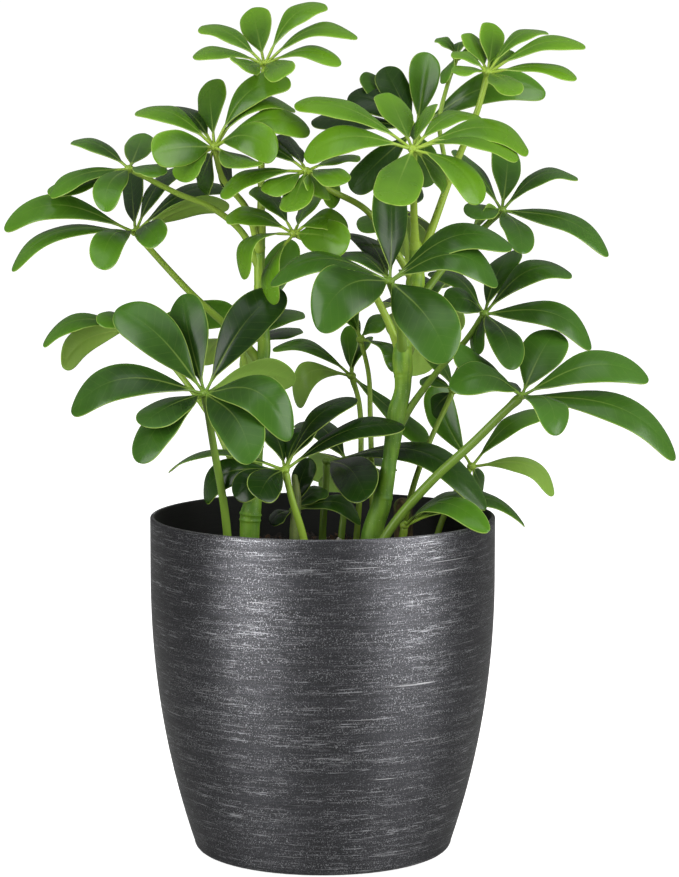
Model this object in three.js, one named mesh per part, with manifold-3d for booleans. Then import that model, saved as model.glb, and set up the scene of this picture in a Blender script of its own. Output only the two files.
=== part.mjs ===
// A potted dwarf umbrella plant: a round metal planter filled with soil, two main stems, a short
// shoot, a cut cane, and palmate leaves whose stalked leaflets spread from a hub.
// Millimetres, +Z up, the front towards -Y. The origin is the centre of the pot's underside.

import * as THREE from "three";
import { mergeVertices } from "three/addons/utils/BufferGeometryUtils.js";
import Module from "manifold-3d";

const wasm = await Module();
wasm.setup();

// Clear space between pieces that touch on the real plant, and the slivers that joining leaves
const GAP = 0.3;
const SLIVER = 0.06;

// The pot: its outside is a wall that leans in towards the foot along a power curve
const POT = {
  rimRadius: 80,
  height: 157,
  baseRadius: 58.8,
  bellyHeight: 130,
  bellyPower: 2.1,
  footRadius: 54,
  cornerHeight: 4.5,
  cornerOut: 0.7,
  cornerUp: 0.3,
  wall: 2.2,
  floor: 3,
  sides: 48,
};

// The soil: a low mound with small lumps, whose waves along x and y have these pitches
const SOIL = { height: 135, mound: 3, lump: 1.1, waveX: 6, waveY: 8, sides: 24 };

// Every stem and leaf is placed by where an eye in front of the plant sees it on the upright plane
// y = 0, and by its depth y. These are the eye's place, and x and z on that plane.
const EYE = new THREE.Vector3(7.8, -1440, 361);

// A leaflet. stalkShare: its stalk's share of its length, by age, as the blade grows down along it.
// stations: where its outline is cut, as shares of the blade.
// widest: where it is widest. outlinePower rounds its outline. seenMargin: how much wider than it
// is seen a blade is at least. fold: how far the halves slope back, as a share of the half width.
// archShift above 1 moves the arch's peak towards the tip. leastLean: the share of the reach that
// even a leaflet seen at full length can lean by. outward: how much an arch seeks the side.
const BLADE = {
  stalkShare: { young: 0.17, middle: 0.12, old: 0.1 },
  stalkRadius: 0.7,
  rib: 1.3,
  stations: [0.33, 0.66, 0.93],
  widest: 0.657,
  outlinePower: 0.43,
  spread: 1.06,
  seenMargin: 1.02,
  fold: 0.13,
  archShift: 1.25,
  archRise: 1.4,
  leastLean: 0.4,
  outward: 0.3,
};
const HUB_RADIUS = 2.3;
const PETIOLE_SIDES = 6;
const STEM_SIDES = 8;
const ROD_STEPS = { perSpan: 1.5, least: 3 };

const FINISH = {
  pot: { color: "#4a4a4e", roughness: 0.42, metalness: 0.7 },
  soil: { color: "#2a221b", roughness: 0.95, metalness: 0 },
  stem: { color: "#6f9a3c", roughness: 0.6, metalness: 0 },
  cane: { color: "#6b5a3a", roughness: 0.8, metalness: 0 },
  young: { color: "#6fa838", roughness: 0.4, metalness: 0 },
  middle: { color: "#4a8a36", roughness: 0.4, metalness: 0 },
  old: { color: "#2f6a31", roughness: 0.4, metalness: 0 },
};

// Stems: points [x, z, y, radius] from the soil up, and the finish
const STEMS = [
  {
    name: "stem_left", finish: "stem",
    path: [
      [-34, 108, 0, 4.4], [-34, 146, 0, 4.5], [-33.5, 157, 0, 4.9], [-32.5, 163, 0, 4.1],
      [-31, 190, 0, 3.6], [-27.5, 229, 0, 3.1], [-27, 235, 0, 3], [-29, 270, 0, 2.6], [-28.5, 291, 0, 2.4],
    ],
  },
  {
    name: "stem_right", finish: "stem",
    path: [
      [20, 108, -5, 5], [23, 148, -5, 5], [27.5, 163, -5, 4.4], [31, 182, -5, 3.4],
      [34.5, 205, -5, 4.4], [37, 216, -5, 3.8], [37, 236, -5, 4.2], [40, 250, -5, 3.5],
      [43, 268, -5, 3.8], [42.5, 285, -5, 2.8],
    ],
  },
  {
    name: "shoot_short", finish: "stem",
    path: [[-13, 108, 2, 2.4], [-13, 150, 2, 2.4], [-12, 165, 2, 2], [-13, 176, 3, 1.2]],
  },
  {
    name: "cane_stub", finish: "cane",
    path: [[38, 108, 23, 4.6], [37.5, 150, 23, 4.6], [37, 165, 23, 4.3]],
  },
];

// Leaves. on: what carries it. hub: [x, z, y]. reach: the length of a full leaflet. blade: a full
// leaflet's width. petiole: points [x, z, y] from its root to just under the hub. thick: its
// radius at both ends. leaflets: [x, z, lean, seen, arch, widest]: where the tip is seen; how far
// it leans away from the eye, from -1 to 1 of what the reach allows; the width that is seen,
// negative where the underside shows; how high it is seen to arch, negative where it sags; and
// where it is widest, given only for a leaflet that droops to the front with its base shortened.
const LEAVES = [
  {
    name: "leaf_top_left", age: "young", on: "stem_left",
    hub: [-26.5, 364.5, 0], reach: 46, blade: 13.5, thick: [1.9, 1.2],
    petiole: [[-28.5, 287, 0], [-28.2, 300, 0], [-28, 317, 0], [-27.5, 343.5, 0]],
    leaflets: [
      [-60, 367, -0.3, 4.5, 3.5], [-56, 381.5, 0.6, 8, 3], [-32, 390.5, 0.8, 14, 0],
      [2.3, 391.8, 0.5, 9, 5.5], [17, 376, 0, 6.5, 7], [9.3, 363.5, -0.4, 5.5, 5],
      [-17, 358.7, -0.9, 12, 1.5], [-39, 364.5, -0.6, 8, 0],
    ],
  },
  {
    name: "leaf_upper_left", age: "young", on: "stem_left",
    hub: [-49.5, 327, -20], reach: 46, blade: 16, thick: [1.7, 1.2],
    petiole: [[-28.7, 279, -0.5], [-35, 299, -5], [-45.8, 312.7, -13]],
    leaflets: [
      [-86.4, 342.2, 0.3, 8.5, 4.8, 0.55], [-70, 345, 0.8, 10, 3], [-52, 357.5, 0.7, 13, 0],
      [-14.3, 358, 0.3, 12, 5.8], [-4.7, 333.2, -0.3, 11, 6.6], [-19.7, 322.7, -0.5, 15, 5],
      [-32, 317.8, -0.8, 9, 0], [-78.8, 324, -0.6, 15.8, 1, 0.57], [-66, 310.5, -0.2, 10, 2],
      [-11.5, 342.8, 0.4, 7, 8.5],
      [-57, 308.5, 0.6, 10, 0], [-41.5, 311, 0.6, 9, 0],
    ],
  },
  {
    name: "leaf_left_upper", age: "middle", on: "stem_left",
    hub: [-88.5, 317, -5], reach: 40, blade: 13, thick: [1.7, 1.2],
    petiole: [[-29, 272, 0], [-37, 288, -1], [-50.5, 299, -3], [-67, 306, -4]],
    leaflets: [
      [-115, 329.3, 0.5, 7, 2.8], [-125.6, 303.6, -0.3, 7.5, 3.5], [-100, 296.3, -0.8, 12, 3.3, 0.52],
      [-81.5, 333.5, 1, 12, 0], [-73.5, 313.4, -0.6, 6, 2], [-127, 306.5, 0.35, 7, 0],
    ],
  },
  {
    name: "leaf_left_middle", age: "middle", on: "stem_left",
    hub: [-86, 288, 10], reach: 62, blade: 14, thick: [1.9, 1.3],
    petiole: [[-27.5, 226, 0], [-37, 238, 2], [-60.3, 259.7, 5], [-79.5, 280.5, 9]],
    leaflets: [
      [-147, 289, 0, 11.5, 8.5], [-143.5, 269.3, -0.3, 7, 8], [-102.3, 270, -0.8, 12.5, 4.8],
      [-74.5, 282, -0.6, 13, 3], [-88, 317, 0.6, 10.5, 0], [-64, 318.4, 0.6, 8.5, 3],
      [-42, 308, 0.3, 8, 5], [-42, 300.5, -0.1, -9, 3.3],
    ],
  },
  {
    name: "leaf_centre_left_upper", age: "young", on: "stem_right",
    hub: [-7.3, 316, -32], reach: 44, blade: 14, thick: [1.8, 1.2],
    petiole: [[43, 264, -5], [33, 280, -10], [20, 298.2, -18], [0, 309.3, -28]],
    leaflets: [
      [-47.5, 303.5, -0.3, 7.5, 4], [-14.5, 297, -0.8, 11.5, 0.3, 0.52], [10, 309.4, -0.6, 8, 2],
      [17.9, 322.4, 0.2, 4, 1.5], [-37, 331, 0.4, 8, 2], [-1, 303, -0.4, 8, 1], [-17, 333, 0.5, 7, 0],
      [-26, 305, -0.4, 9, 1], [8, 302, 0.3, 10, 1],
    ],
  },
  {
    name: "leaf_centre_left", age: "young", on: "stem_right",
    hub: [-13.2, 287.4, -25], reach: 40, blade: 15, thick: [1.9, 1.2],
    petiole: [[36.8, 231, -5], [28, 251.5, -8], [20.5, 264, -14], [4, 279, -21]],
    leaflets: [
      [-45, 294.7, 0.2, 9, 3], [-31, 309, 0.6, 9, 1.5], [-3, 306, 0.6, 7, 0.5],
      [12.6, 288, -0.2, 9, 5], [12.6, 281.2, -0.7, 15.5, 1.5, 0.52], [-36, 264.5, -0.5, 6.5, 8.5],
      [-21.2, 253.6, -0.7, 6.5, 5],
    ],
  },
  {
    name: "leaf_centre_top", age: "young", on: "stem_right",
    hub: [41.3, 326, -35], reach: 56, blade: 17, thick: [1.9, 1.3],
    petiole: [[42.5, 279, -5], [42, 296, -13], [41.6, 312, -25]],
    leaflets: [
      [-13.7, 346, 0.2, 8, 5], [-9.2, 321.5, -0.3, 12.5, 5.7], [30, 352, 0.7, 13, 0],
      [47.8, 345.3, 0.5, 7.5, 0.3], [72, 340.6, 0.4, 8, 4.5], [90.5, 320.5, -0.2, 8, 6],
      [95, 324, 0.3, 11, 7.7], [72.3, 299.7, -0.5, 11, 5], [31.4, 300.3, -0.9, 19, 0.3, 0.5],
      [57, 309, 0.3, 9, 1.5],
    ],
  },
  {
    name: "leaf_centre_top_back", age: "middle", on: "stem_right",
    hub: [43, 335, 40], reach: 46, blade: 15, thick: [1.8, 1.2],
    petiole: [[42, 256, -5], [42.5, 275, 8], [42, 318, 28]],
    leaflets: [
      [48.5, 370.6, 0.5, 14, 0], [28, 364, 0.3, 14, 0], [18.5, 361.5, 0.4, 9, 0], [11, 350, 0.2, 12, 3],
      [102.8, 351.6, 0, 14.5, 7.3], [-6, 338, 0, 9, 2], [13, 306, -0.2, 13, 1],
      [50, 309, 0.4, 11, 1],
    ],
  },
  {
    name: "leaf_top_right", age: "young", on: "stem_right",
    hub: [75.5, 360.6, 0], reach: 44, blade: 12.5, thick: [2.1, 1.2],
    petiole: [[43, 272, -5], [50, 289, -2], [58.8, 313.5, 0], [70.9, 343.7, 0]],
    leaflets: [
      [120.8, 372.3, 0.2, 7, 5], [117, 357.4, -0.2, 5, 3.5], [78.5, 383.2, 0.7, 11, 0],
      [103, 378.8, 0.5, 6.5, 4.6], [67.5, 379, 0.6, 8.5, 0], [88.5, 350, -0.8, 9, 1.5, 0.55],
      [58.1, 369.6, 0.1, 4.5, 2], [59.8, 359.8, -0.3, 4, 2], [84, 371.5, 0.3, 7, 0],
    ],
  },
  {
    name: "leaf_top_right_back", age: "middle", on: "stem_right",
    hub: [61.5, 368, 22], reach: 24, blade: 9, thick: [1.3, 0.9],
    petiole: [[43.2, 268, -4], [50, 288.5, 5], [57, 310, 11], [53.5, 338, 15], [56.5, 353, 18]],
    leaflets: [
      [50.8, 375.7, 0.2, 5, 2], [66, 374, 0.7, 5, 2], [56, 355, -0.5, 4, 1.5], [70, 366, 0.5, 5, 2],
    ],
  },
  {
    name: "leaf_right_upper", age: "old", on: "stem_right",
    hub: [82.3, 298, 12], reach: 52, blade: 15, thick: [1.9, 1.3],
    petiole: [[41, 252, -5], [56, 272, 1], [72, 288, 8]],
    leaflets: [
      [84.3, 329, 0.6, 13.5, 0.7, 0.7], [117.9, 312, 0.2, 7.5, 6.3], [132, 276.2, -0.3, 9, 5.6, 0.52],
      [91.5, 277.4, -0.7, 11.5, 2.5, 0.55], [66.5, 294.5, -0.3, 8, 2], [60, 326, 0.6, 7, 1.5],
      [70, 292, -0.2, -6, 2],
    ],
  },
  {
    name: "leaf_centre", age: "old", on: "stem_right",
    hub: [31, 265.5, -45], reach: 60, blade: 18, thick: [2, 1.4],
    petiole: [[37, 232, -5], [35, 250, -24]],
    leaflets: [
      [-24.7, 262.6, -0.4, 9, 8.2], [-3, 242, -0.6, 23.5, 6.5, 0.52], [58, 227.3, -0.7, 23.5, 3, 0.47],
      [88, 280.6, 0.2, 12, 8.5], [81.5, 262.7, -0.1, 13, 9.5], [31, 312, 0.4, 15, 0.5],
      [12, 287, 0.8, 10, 3.5], [8, 278, 0.2, 7, 3],
    ],
  },
  {
    name: "leaf_right_middle", age: "old", on: "stem_right",
    hub: [74.5, 250.5, 5], reach: 50, blade: 16, thick: [1.8, 1.2],
    petiole: [[35, 198, -5], [40.5, 207, -5], [54, 225, -1], [65.5, 237.5, 2]],
    leaflets: [
      [115.5, 268, 0.3, 11, 7.3], [124.5, 233.3, -0.2, 12, 7.4, 0.55], [89, 280, 0.6, 11, 2],
      [87, 223.6, -0.9, 13, 3, 0.55], [72.5, 230.5, -0.2, 7, 2], [48, 269, 0.3, 7, 4.5],
      [55, 256, -0.3, 10, 3],
    ],
  },
  {
    name: "leaf_left_big", age: "old", on: "soil",
    hub: [-54.5, 213.5, -40], reach: 66, blade: 19, thick: [2.1, 1.5],
    petiole: [[-42.5, 108, -22], [-45, 154.5, -27], [-50.7, 190, -34]],
    leaflets: [
      [-95.5, 253, 0.4, 19.5, 3.3], [-64.5, 260, 0.5, 16.5, 0.8], [-18, 262, 0.6, 18.5, 3.3],
      [-117, 204, -0.2, 16, 8.5], [-84, 198, -0.5, 12, 1.7], [-85, 180, -0.6, 12.5, 4],
      [-33, 180, -0.7, 19.5, 4, 0.52], [-14, 191, -0.5, 18, 8.5, 0.57], [-11.5, 219, 0.5, -14, 4.5],
    ],
  },
  {
    name: "leaf_left_back", age: "middle", on: "stem_left",
    hub: [-86, 244, 28], reach: 45, blade: 13, thick: [1.8, 1.2],
    petiole: [[-32, 165, 0], [-42, 182, 4], [-50.2, 199.8, 9], [-68, 225, 19]],
    leaflets: [
      [-129.5, 234.8, 0, 8, 6.5], [-120.5, 224.7, -0.2, -12, 5], [-104, 245, -0.5, 7, 3],
      [-39, 251, 0.2, 13, 1],
    ],
  },
  {
    name: "leaf_right_big", age: "old", on: "soil",
    hub: [92, 212.5, -30], reach: 72, blade: 17, thick: [2.3, 1.8],
    petiole: [[10, 108, -15], [30.5, 149, -16], [50, 172.3, -19], [70, 191, -25], [83, 204, -28]],
    leaflets: [
      [57.5, 215.5, -0.3, 12.5, 5.5], [61, 236, 0.1, 11, -1], [108, 243, 0.45, 19, 1],
      [151.5, 219.5, -0.1, 14.3, 7.2, 0.57], [164, 182, -0.2, 12.6, 8.6, 0.6],
      [107.7, 192.6, -0.5, 12, 5.5, 0.55], [78.5, 219.3, 0.2, 4, 1.5],
    ],
  },
  {
    name: "leaf_low_left_centre", age: "middle", on: "soil",
    hub: [-17.5, 178, -28], reach: 40, blade: 14, thick: [1.9, 1.4],
    petiole: [[-2, 108, -22], [-9, 146.5, -24], [-14.5, 165, -27]],
    leaflets: [
      [-30, 163.7, -0.8, 15, 2], [-41, 163.7, -0.4, 12, 2.5], [-55, 163.5, 1, 13, 6],
      [-5, 198.8, 0.5, 10, 2], [-27, 198, 0.5, 9, 2], [17, 211, 0.3, 8.5, 5.2],
      [39, 197.8, -0.2, 8.5, 5.3], [-72, 176, 1, 3.5, 7],
    ],
  },
  {
    name: "leaf_centre_back", age: "middle", on: "soil",
    hub: [17.6, 238.6, 28], reach: 30, blade: 12, thick: [1.5, 1],
    petiole: [[24, 108, 20], [23, 165, 22], [22, 204, 25], [21.3, 222, 27]],
    leaflets: [
      [9, 250, 0.3, 5, 2], [31, 246, -0.3, 7, 3], [33, 222, -0.5, 6, 5], [2, 258, 0.6, 7, 2],
      [15, 270, 0.4, 8, 2],
    ],
  },
  {
    name: "leaf_centre_back_low", age: "middle", on: "soil",
    hub: [13.3, 221.8, 42], reach: 34, blade: 13, thick: [1.6, 1.1],
    petiole: [[12, 108, 30], [17, 165, 36], [17, 208, 40]],
    leaflets: [
      [11, 245.4, 0.4, 8, 0], [-24, 233.5, 0.3, 6, 5.5],
      [22, 240, 0.5, 7, 2], [-11.8, 206, -0.3, 12, 8.5], [49.5, 190.5, 0.2, 9, 0, 0.78],
    ],
  },
  {
    name: "leaf_right_low_back", age: "middle", on: "soil",
    hub: [69, 179.6, 30], reach: 44, blade: 15, thick: [1.6, 1.2],
    petiole: [[46, 108, 20], [54, 150, 24], [63, 170, 28]],
    leaflets: [
      [107.7, 165.2, -0.1, 8.5, 7], [104, 205, 0.4, 8.5, 4], [52, 219, 0.4, 14, -2],
      [74, 167, 0.25, 8, 0.5],
    ],
  },
  {
    name: "leaf_low_centre", age: "old", on: "soil",
    hub: [2, 182, 26], reach: 80, blade: 17, thick: [1.9, 1.4],
    petiole: [[0, 108, 22], [0, 150, 24], [1.5, 170, 26]],
    leaflets: [[76.5, 158.3, -1, 11, 12.3], [20.5, 163.5, -0.68, 19, 3.5]],
  },
  {
    name: "leaf_low_right", age: "middle", on: "soil",
    hub: [38, 152, -2], reach: 62, blade: 13, thick: [1.8, 1.5],
    petiole: [[33, 108, 2], [36, 135, 0]],
    leaflets: [
      [94, 151, 0.9, 8, 9.5], [87, 160, 0.95, 6, 7], [78, 148, -0.95, 8, 8.5], [68, 167, 0.15, 4, 3],
    ],
  },
  {
    name: "leaf_right_behind", age: "middle", on: "soil",
    hub: [60.5, 215, 22], reach: 32, blade: 12, thick: [1.6, 1.1],
    petiole: [[30, 108, 10], [41, 166.5, 12], [49.5, 191, 16]],
    leaflets: [[44, 219, 0.1, 6, 2], [48, 231, 0.4, 7, 2], [70, 230, 0.6, 8, 1], [51, 203, 0.36, 10, 1]],
  },
  {
    name: "leaf_low_inner", age: "old", on: "soil",
    hub: [-13.5, 159, 13], reach: 36, blade: 12, thick: [1.6, 1.2],
    petiole: [[-10, 108, 10], [-12, 140, 12]],
    leaflets: [[18, 151.5, 0.1, 8, 6], [-24, 151, -0.1, 6, 2], [3, 168, 0.15, 8, 2], [-5, 184, 0, 10, 1]],
  },
  {
    name: "leaf_back_right", age: "middle", on: "stem_right",
    hub: [47, 250, 56], reach: 52, blade: 17, thick: [1.8, 1.3],
    petiole: [[36.8, 222, -5], [40, 232, 18], [45, 243, 42]],
    leaflets: [
      [36, 238, 0.9, -12, 5], [60, 240, 0.9, -12, 5], [56, 262, 0.8, 11, 5], [38, 268, 0.8, 11, 5],
      [30, 253, 0.9, 8, 5], [45, 221.5, 0.5, -15, 1],
    ],
  },
  {
    name: "leaf_back_left", age: "middle", on: "stem_left",
    hub: [-38, 236, 50], reach: 54, blade: 17, thick: [1.8, 1.3],
    petiole: [[-30.5, 196, 0], [-32, 208, 16], [-36, 228, 38]],
    leaflets: [
      [-56, 226, 0.8, -10, 5], [-52, 248, 0.8, 10, 5], [-8, 250.5, 0.3, 9, 3.5], [-10, 243.5, 0.5, 5, 1],
      [-34, 218, 0.8, -12, 5], [-13, 285, 0.1, 14, 1],
    ],
  },
  {
    name: "leaf_back_centre", age: "middle", on: "stem_right",
    hub: [36, 298, 62], reach: 50, blade: 16, thick: [1.8, 1.3],
    petiole: [[41.5, 246, -5], [41, 262, 18], [38, 285, 46]],
    leaflets: [
      [27, 312, 0.8, 10, 4], [41, 316, 0.8, 10, 3], [31, 284, 0.8, -9, 2], [44, 287, 0.7, -8, 3],
      [37, 276, 0.7, -12, 5], [15, 290.5, 0, 9, 0],
    ],
  },
  {
    name: "leaf_back_low", age: "old", on: "soil",
    hub: [12, 181, 56], reach: 52, blade: 17, thick: [1.8, 1.3],
    petiole: [[6, 108, 42], [9, 150, 47], [11, 168, 51]],
    leaflets: [
      [27, 166, 0.9, -12, 3], [-4, 172, 0.9, -12, 5], [-11.5, 199.5, 0.6, 12, 4], [31, 179, 0.8, 7, 3],
      [10, 164, 0.7, -14, 5],
    ],
  },
];

// The place in space that the eye sees at (x, z) on the plane y = 0, at depth y
function place([x, z, y]) {
  const seen = new THREE.Vector3(x, 0, z);
  return seen.sub(EYE).multiplyScalar((y - EYE.y) / -EYE.y).add(EYE);
}

// A closed body through rings of points of one even size, with its quads split alike about each
// ring's even points. It ends in the last ring, or in a tip where one is given.
function loft(rings, tip) {
  const size = rings[0].length;
  const points = rings.flat();
  const faces = [];
  for (let k = 1; k < size - 1; k++) faces.push(0, k + 1, k);
  for (let i = 0; i < rings.length - 1; i++) {
    for (let k = 0; k < size; k++) {
      const next = (k + 1) % size;
      const [a, b] = [i * size + k, i * size + next];
      const [c, d] = [a + size, b + size];
      if (k % 2 === 0) faces.push(a, b, d, a, d, c);
      else faces.push(a, b, c, b, d, c);
    }
  }
  const last = (rings.length - 1) * size;
  if (tip) {
    points.push(tip);
    for (let k = 0; k < size; k++) faces.push(last + k, last + ((k + 1) % size), points.length - 1);
  } else {
    for (let k = 1; k < size - 1; k++) faces.push(last, last + k, last + k + 1);
  }
  const geometry = new THREE.BufferGeometry().setFromPoints(points);
  return geometry.setIndex(faces);
}

// A round rod along a smooth curve through points, whose radius runs from one point's to the next
function rod(points, radii, sides, swell = 0) {
  const curve = new THREE.CatmullRomCurve3(points);
  const spans = points.length - 1;
  const steps = Math.max(ROD_STEPS.least, Math.ceil(ROD_STEPS.perSpan * spans));
  const rings = [];
  for (let i = 0; i <= steps; i++) {
    const t = i / steps;
    const along = curve.getTangent(t);
    const side = new THREE.Vector3(0, 1, 0).cross(along).normalize();
    const up = along.clone().cross(side);
    const at = Math.min(t * spans, spans - 1e-9);
    const k = Math.floor(at);
    const radius = THREE.MathUtils.lerp(radii[k], radii[k + 1], at - k) + swell;
    const centre = curve.getPoint(t);
    const ring = [];
    for (let j = 0; j < sides; j++) {
      const angle = (2 * Math.PI * j) / sides;
      const out = side.clone().multiplyScalar(Math.cos(angle)).addScaledVector(up, Math.sin(angle));
      ring.push(centre.clone().addScaledVector(out, radius));
    }
    rings.push(ring);
  }
  return loft(rings);
}

// One leaflet from the hub to its tip. Its face is turned about the line to the tip until the eye
// sees the wanted share of its width. The midrib bows up as it is seen, and towards the eye as
// far as the face turns to it. Both halves of the blade slope away from the midrib, so a cut
// across it is a flat arrowhead.
function leaflet(leaf, [x, z, lean, seen, arch, widest = BLADE.widest]) {
  const [hubX, hubZ, hubY] = leaf.hub;
  const flat = Math.hypot(x - hubX, z - hubZ);
  const least = BLADE.leastLean * leaf.reach;
  const depth = lean * Math.sqrt(Math.max(leaf.reach ** 2 - flat ** 2, least ** 2));
  const hub = place(leaf.hub);
  const tip = place([x, z, hubY + depth]);
  const line = tip.clone().sub(hub);
  const along = line.clone().normalize();
  const toEye = EYE.clone().sub(hub).normalize();
  const facing = toEye.clone().addScaledVector(along, -toEye.dot(along)).normalize();
  const across = along.clone().cross(facing);
  const outward = new THREE.Vector3(Math.sign(x - hubX) * BLADE.outward, 0, 1);
  if (across.dot(outward) < 0) across.negate();
  const width = Math.max(leaf.blade, Math.abs(seen) * BLADE.seenMargin);
  const turn = seen / width;
  const face = facing.clone().multiplyScalar(turn).addScaledVector(across, Math.sqrt(1 - turn ** 2));
  const side = face.clone().cross(along);
  const bow = across.clone().addScaledVector(facing, turn).multiplyScalar(4 * BLADE.archRise * arch);

  const ring = (u, half, rib) => {
    const way = u ** BLADE.archShift;
    const slope = (bow.dot(face) * (1 - 2 * way)) / line.length();
    const normal = face.clone().addScaledVector(along, -slope).normalize();
    const middle = hub.clone().addScaledVector(line, u).addScaledVector(bow, way * (1 - way));
    const edge = middle.clone().addScaledVector(normal, -BLADE.fold * half);
    return [
      edge.clone().addScaledVector(side, half),
      middle.clone().addScaledVector(normal, rib / 2),
      edge.clone().addScaledVector(side, -half),
      middle.clone().addScaledVector(normal, -rib / 2),
    ];
  };
  const stalk = BLADE.stalkRadius;
  const stalkShare = BLADE.stalkShare[leaf.age];
  const shift = Math.log(0.5) / Math.log(widest);
  const rings = [ring(0, stalk, 2 * stalk), ring(stalkShare, stalk, 2 * stalk)];
  for (const v of BLADE.stations) {
    const u = stalkShare + (1 - stalkShare) * v;
    const full = BLADE.spread * width / 2;
    const half = full * Math.sin(Math.PI * v ** shift) ** BLADE.outlinePower;
    rings.push(ring(u, half, BLADE.rib));
  }
  return loft(rings, tip);
}

// A closed geometry as a solid that can be joined and cut
function solid(geometry) {
  const bare = geometry.clone();
  bare.deleteAttribute("normal");
  bare.deleteAttribute("uv");
  const merged = mergeVertices(bare, 1e-4);
  const index = merged.index.array;
  const kept = [];
  for (let i = 0; i < index.length; i += 3) {
    const [a, b, c] = [index[i], index[i + 1], index[i + 2]];
    if (a !== b && b !== c && c !== a) kept.push(a, b, c);
  }
  return new wasm.Manifold(new wasm.Mesh({
    numProp: 3,
    vertProperties: new Float32Array(merged.attributes.position.array),
    triVerts: new Uint32Array(kept),
  }));
}

// A named mesh of a solid, with its own material
function mesh(name, body, finish) {
  const made = body.getMesh();
  const geometry = new THREE.BufferGeometry();
  geometry.setAttribute("position", new THREE.BufferAttribute(new Float32Array(made.vertProperties), 3));
  geometry.setIndex(new THREE.BufferAttribute(new Uint32Array(made.triVerts), 1));
  geometry.computeVertexNormals();
  const result = new THREE.Mesh(geometry, new THREE.MeshStandardMaterial(finish));
  result.name = name;
  return result;
}

// The pot's outer radius at a height above its underside
function potRadius(z) {
  const below = Math.max(0, 1 - z / POT.bellyHeight);
  return POT.rimRadius - (POT.rimRadius - POT.baseRadius) * below ** POT.bellyPower;
}

// A profile of [radius, z] pairs turned about the pot's axis
function turned(profile, sides) {
  const points = profile.map(([r, z]) => new THREE.Vector2(r, z));
  return new THREE.LatheGeometry(points, sides).rotateX(Math.PI / 2);
}

// The pot: a flat foot, a rounded corner, the leaning wall, a plain rim, and the hollow inside
function makePot() {
  const outerHeights = [14, 30, 50, 75, 105];
  const innerHeights = [105, 60, 25];
  const corner = potRadius(POT.cornerHeight) - POT.footRadius;
  const profile = [
    [0, 0],
    [POT.footRadius, 0],
    [POT.footRadius + corner * POT.cornerOut, POT.cornerHeight * POT.cornerUp],
    [potRadius(POT.cornerHeight), POT.cornerHeight],
    ...outerHeights.map((z) => [potRadius(z), z]),
    [POT.rimRadius, POT.height],
    [POT.rimRadius - POT.wall, POT.height],
    ...innerHeights.map((z) => [potRadius(z) - POT.wall, z]),
    [potRadius(POT.cornerHeight) - POT.wall, POT.floor],
    [0, POT.floor],
  ];
  return solid(turned(profile, POT.sides));
}

// The soil: it follows the pot's inside, and its lumpy top has a hole for each stem and petiole
function makeSoil(holes) {
  const inset = POT.wall + GAP;
  const heights = [25, 60, 105];
  const bottom = POT.floor + GAP;
  const edge = potRadius(SOIL.height) - inset;
  const shares = [0.9, 0.68, 0.45, 0.22, 0];
  const profile = [
    [0, bottom],
    [potRadius(POT.cornerHeight) - inset, bottom],
    ...heights.map((z) => [potRadius(z) - inset, z]),
    [edge, SOIL.height],
    ...shares.map((share) => [edge * share, SOIL.height]),
  ];
  const geometry = turned(profile, SOIL.sides);
  const at = geometry.attributes.position;
  for (let i = 0; i < at.count; i++) {
    const [x, y] = [at.getX(i), at.getY(i)];
    const share = Math.hypot(x, y) / edge;
    if (at.getZ(i) < SOIL.height || share > 1 - 1e-3) continue;
    const lumps = Math.sin(x / SOIL.waveX) * Math.cos(y / SOIL.waveY);
    at.setZ(i, SOIL.height + SOIL.mound * (1 - share ** 2) + SOIL.lump * lumps);
  }
  return solid(geometry).subtract(wasm.Manifold.union(holes));
}

// A stem's rod, swollen by the gap where it cuts its neighbours
function stemRod(stem, swell = 0) {
  const points = stem.path.map(place);
  const radii = stem.path.map((point) => point[3]);
  return solid(rod(points, radii, STEM_SIDES, swell));
}

// A leaf's petiole from its root to its hub
function petioleRod(leaf, swell = 0) {
  const points = [...leaf.petiole, leaf.hub].map(place);
  const [thickEnd, thinEnd] = leaf.thick;
  const last = points.length - 1;
  const radii = points.map((_, i) => THREE.MathUtils.lerp(thickEnd, thinEnd, i / last));
  return solid(rod(points, radii, PETIOLE_SIDES, swell));
}

// A leaf: petiole, hub and leaflets in one body, cut back from the stem that carries it
function makeLeaf(leaf, stems) {
  const hub = new THREE.IcosahedronGeometry(HUB_RADIUS, 0).translate(...place(leaf.hub).toArray());
  const pieces = leaf.leaflets.map((row) => solid(leaflet(leaf, row)));
  const body = wasm.Manifold.union([petioleRod(leaf), solid(hub), ...pieces]);
  const carrier = stems.find((stem) => stem.name === leaf.on);
  return (carrier ? body.subtract(stemRod(carrier, GAP)) : body).simplify(SLIVER);
}

const plant = new THREE.Group();
const rooted = LEAVES.filter((leaf) => leaf.on === "soil");
const holes = [
  ...STEMS.map((stem) => stemRod(stem, GAP)),
  ...rooted.map((leaf) => petioleRod(leaf, GAP)),
];
plant.add(mesh("pot", makePot(), FINISH.pot));
plant.add(mesh("soil", makeSoil(holes), FINISH.soil));
for (const stem of STEMS) plant.add(mesh(stem.name, stemRod(stem), FINISH[stem.finish]));
for (const leaf of LEAVES) plant.add(mesh(leaf.name, makeLeaf(leaf, STEMS), FINISH[leaf.age]));

export default plant;
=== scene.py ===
"""A potted umbrella plant: the planter, soil, stems and leaves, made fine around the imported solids.

Lengths in the tables are millimetres, +Z up, with the front towards -Y and the origin under the pot.
"""

from types import SimpleNamespace

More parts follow.
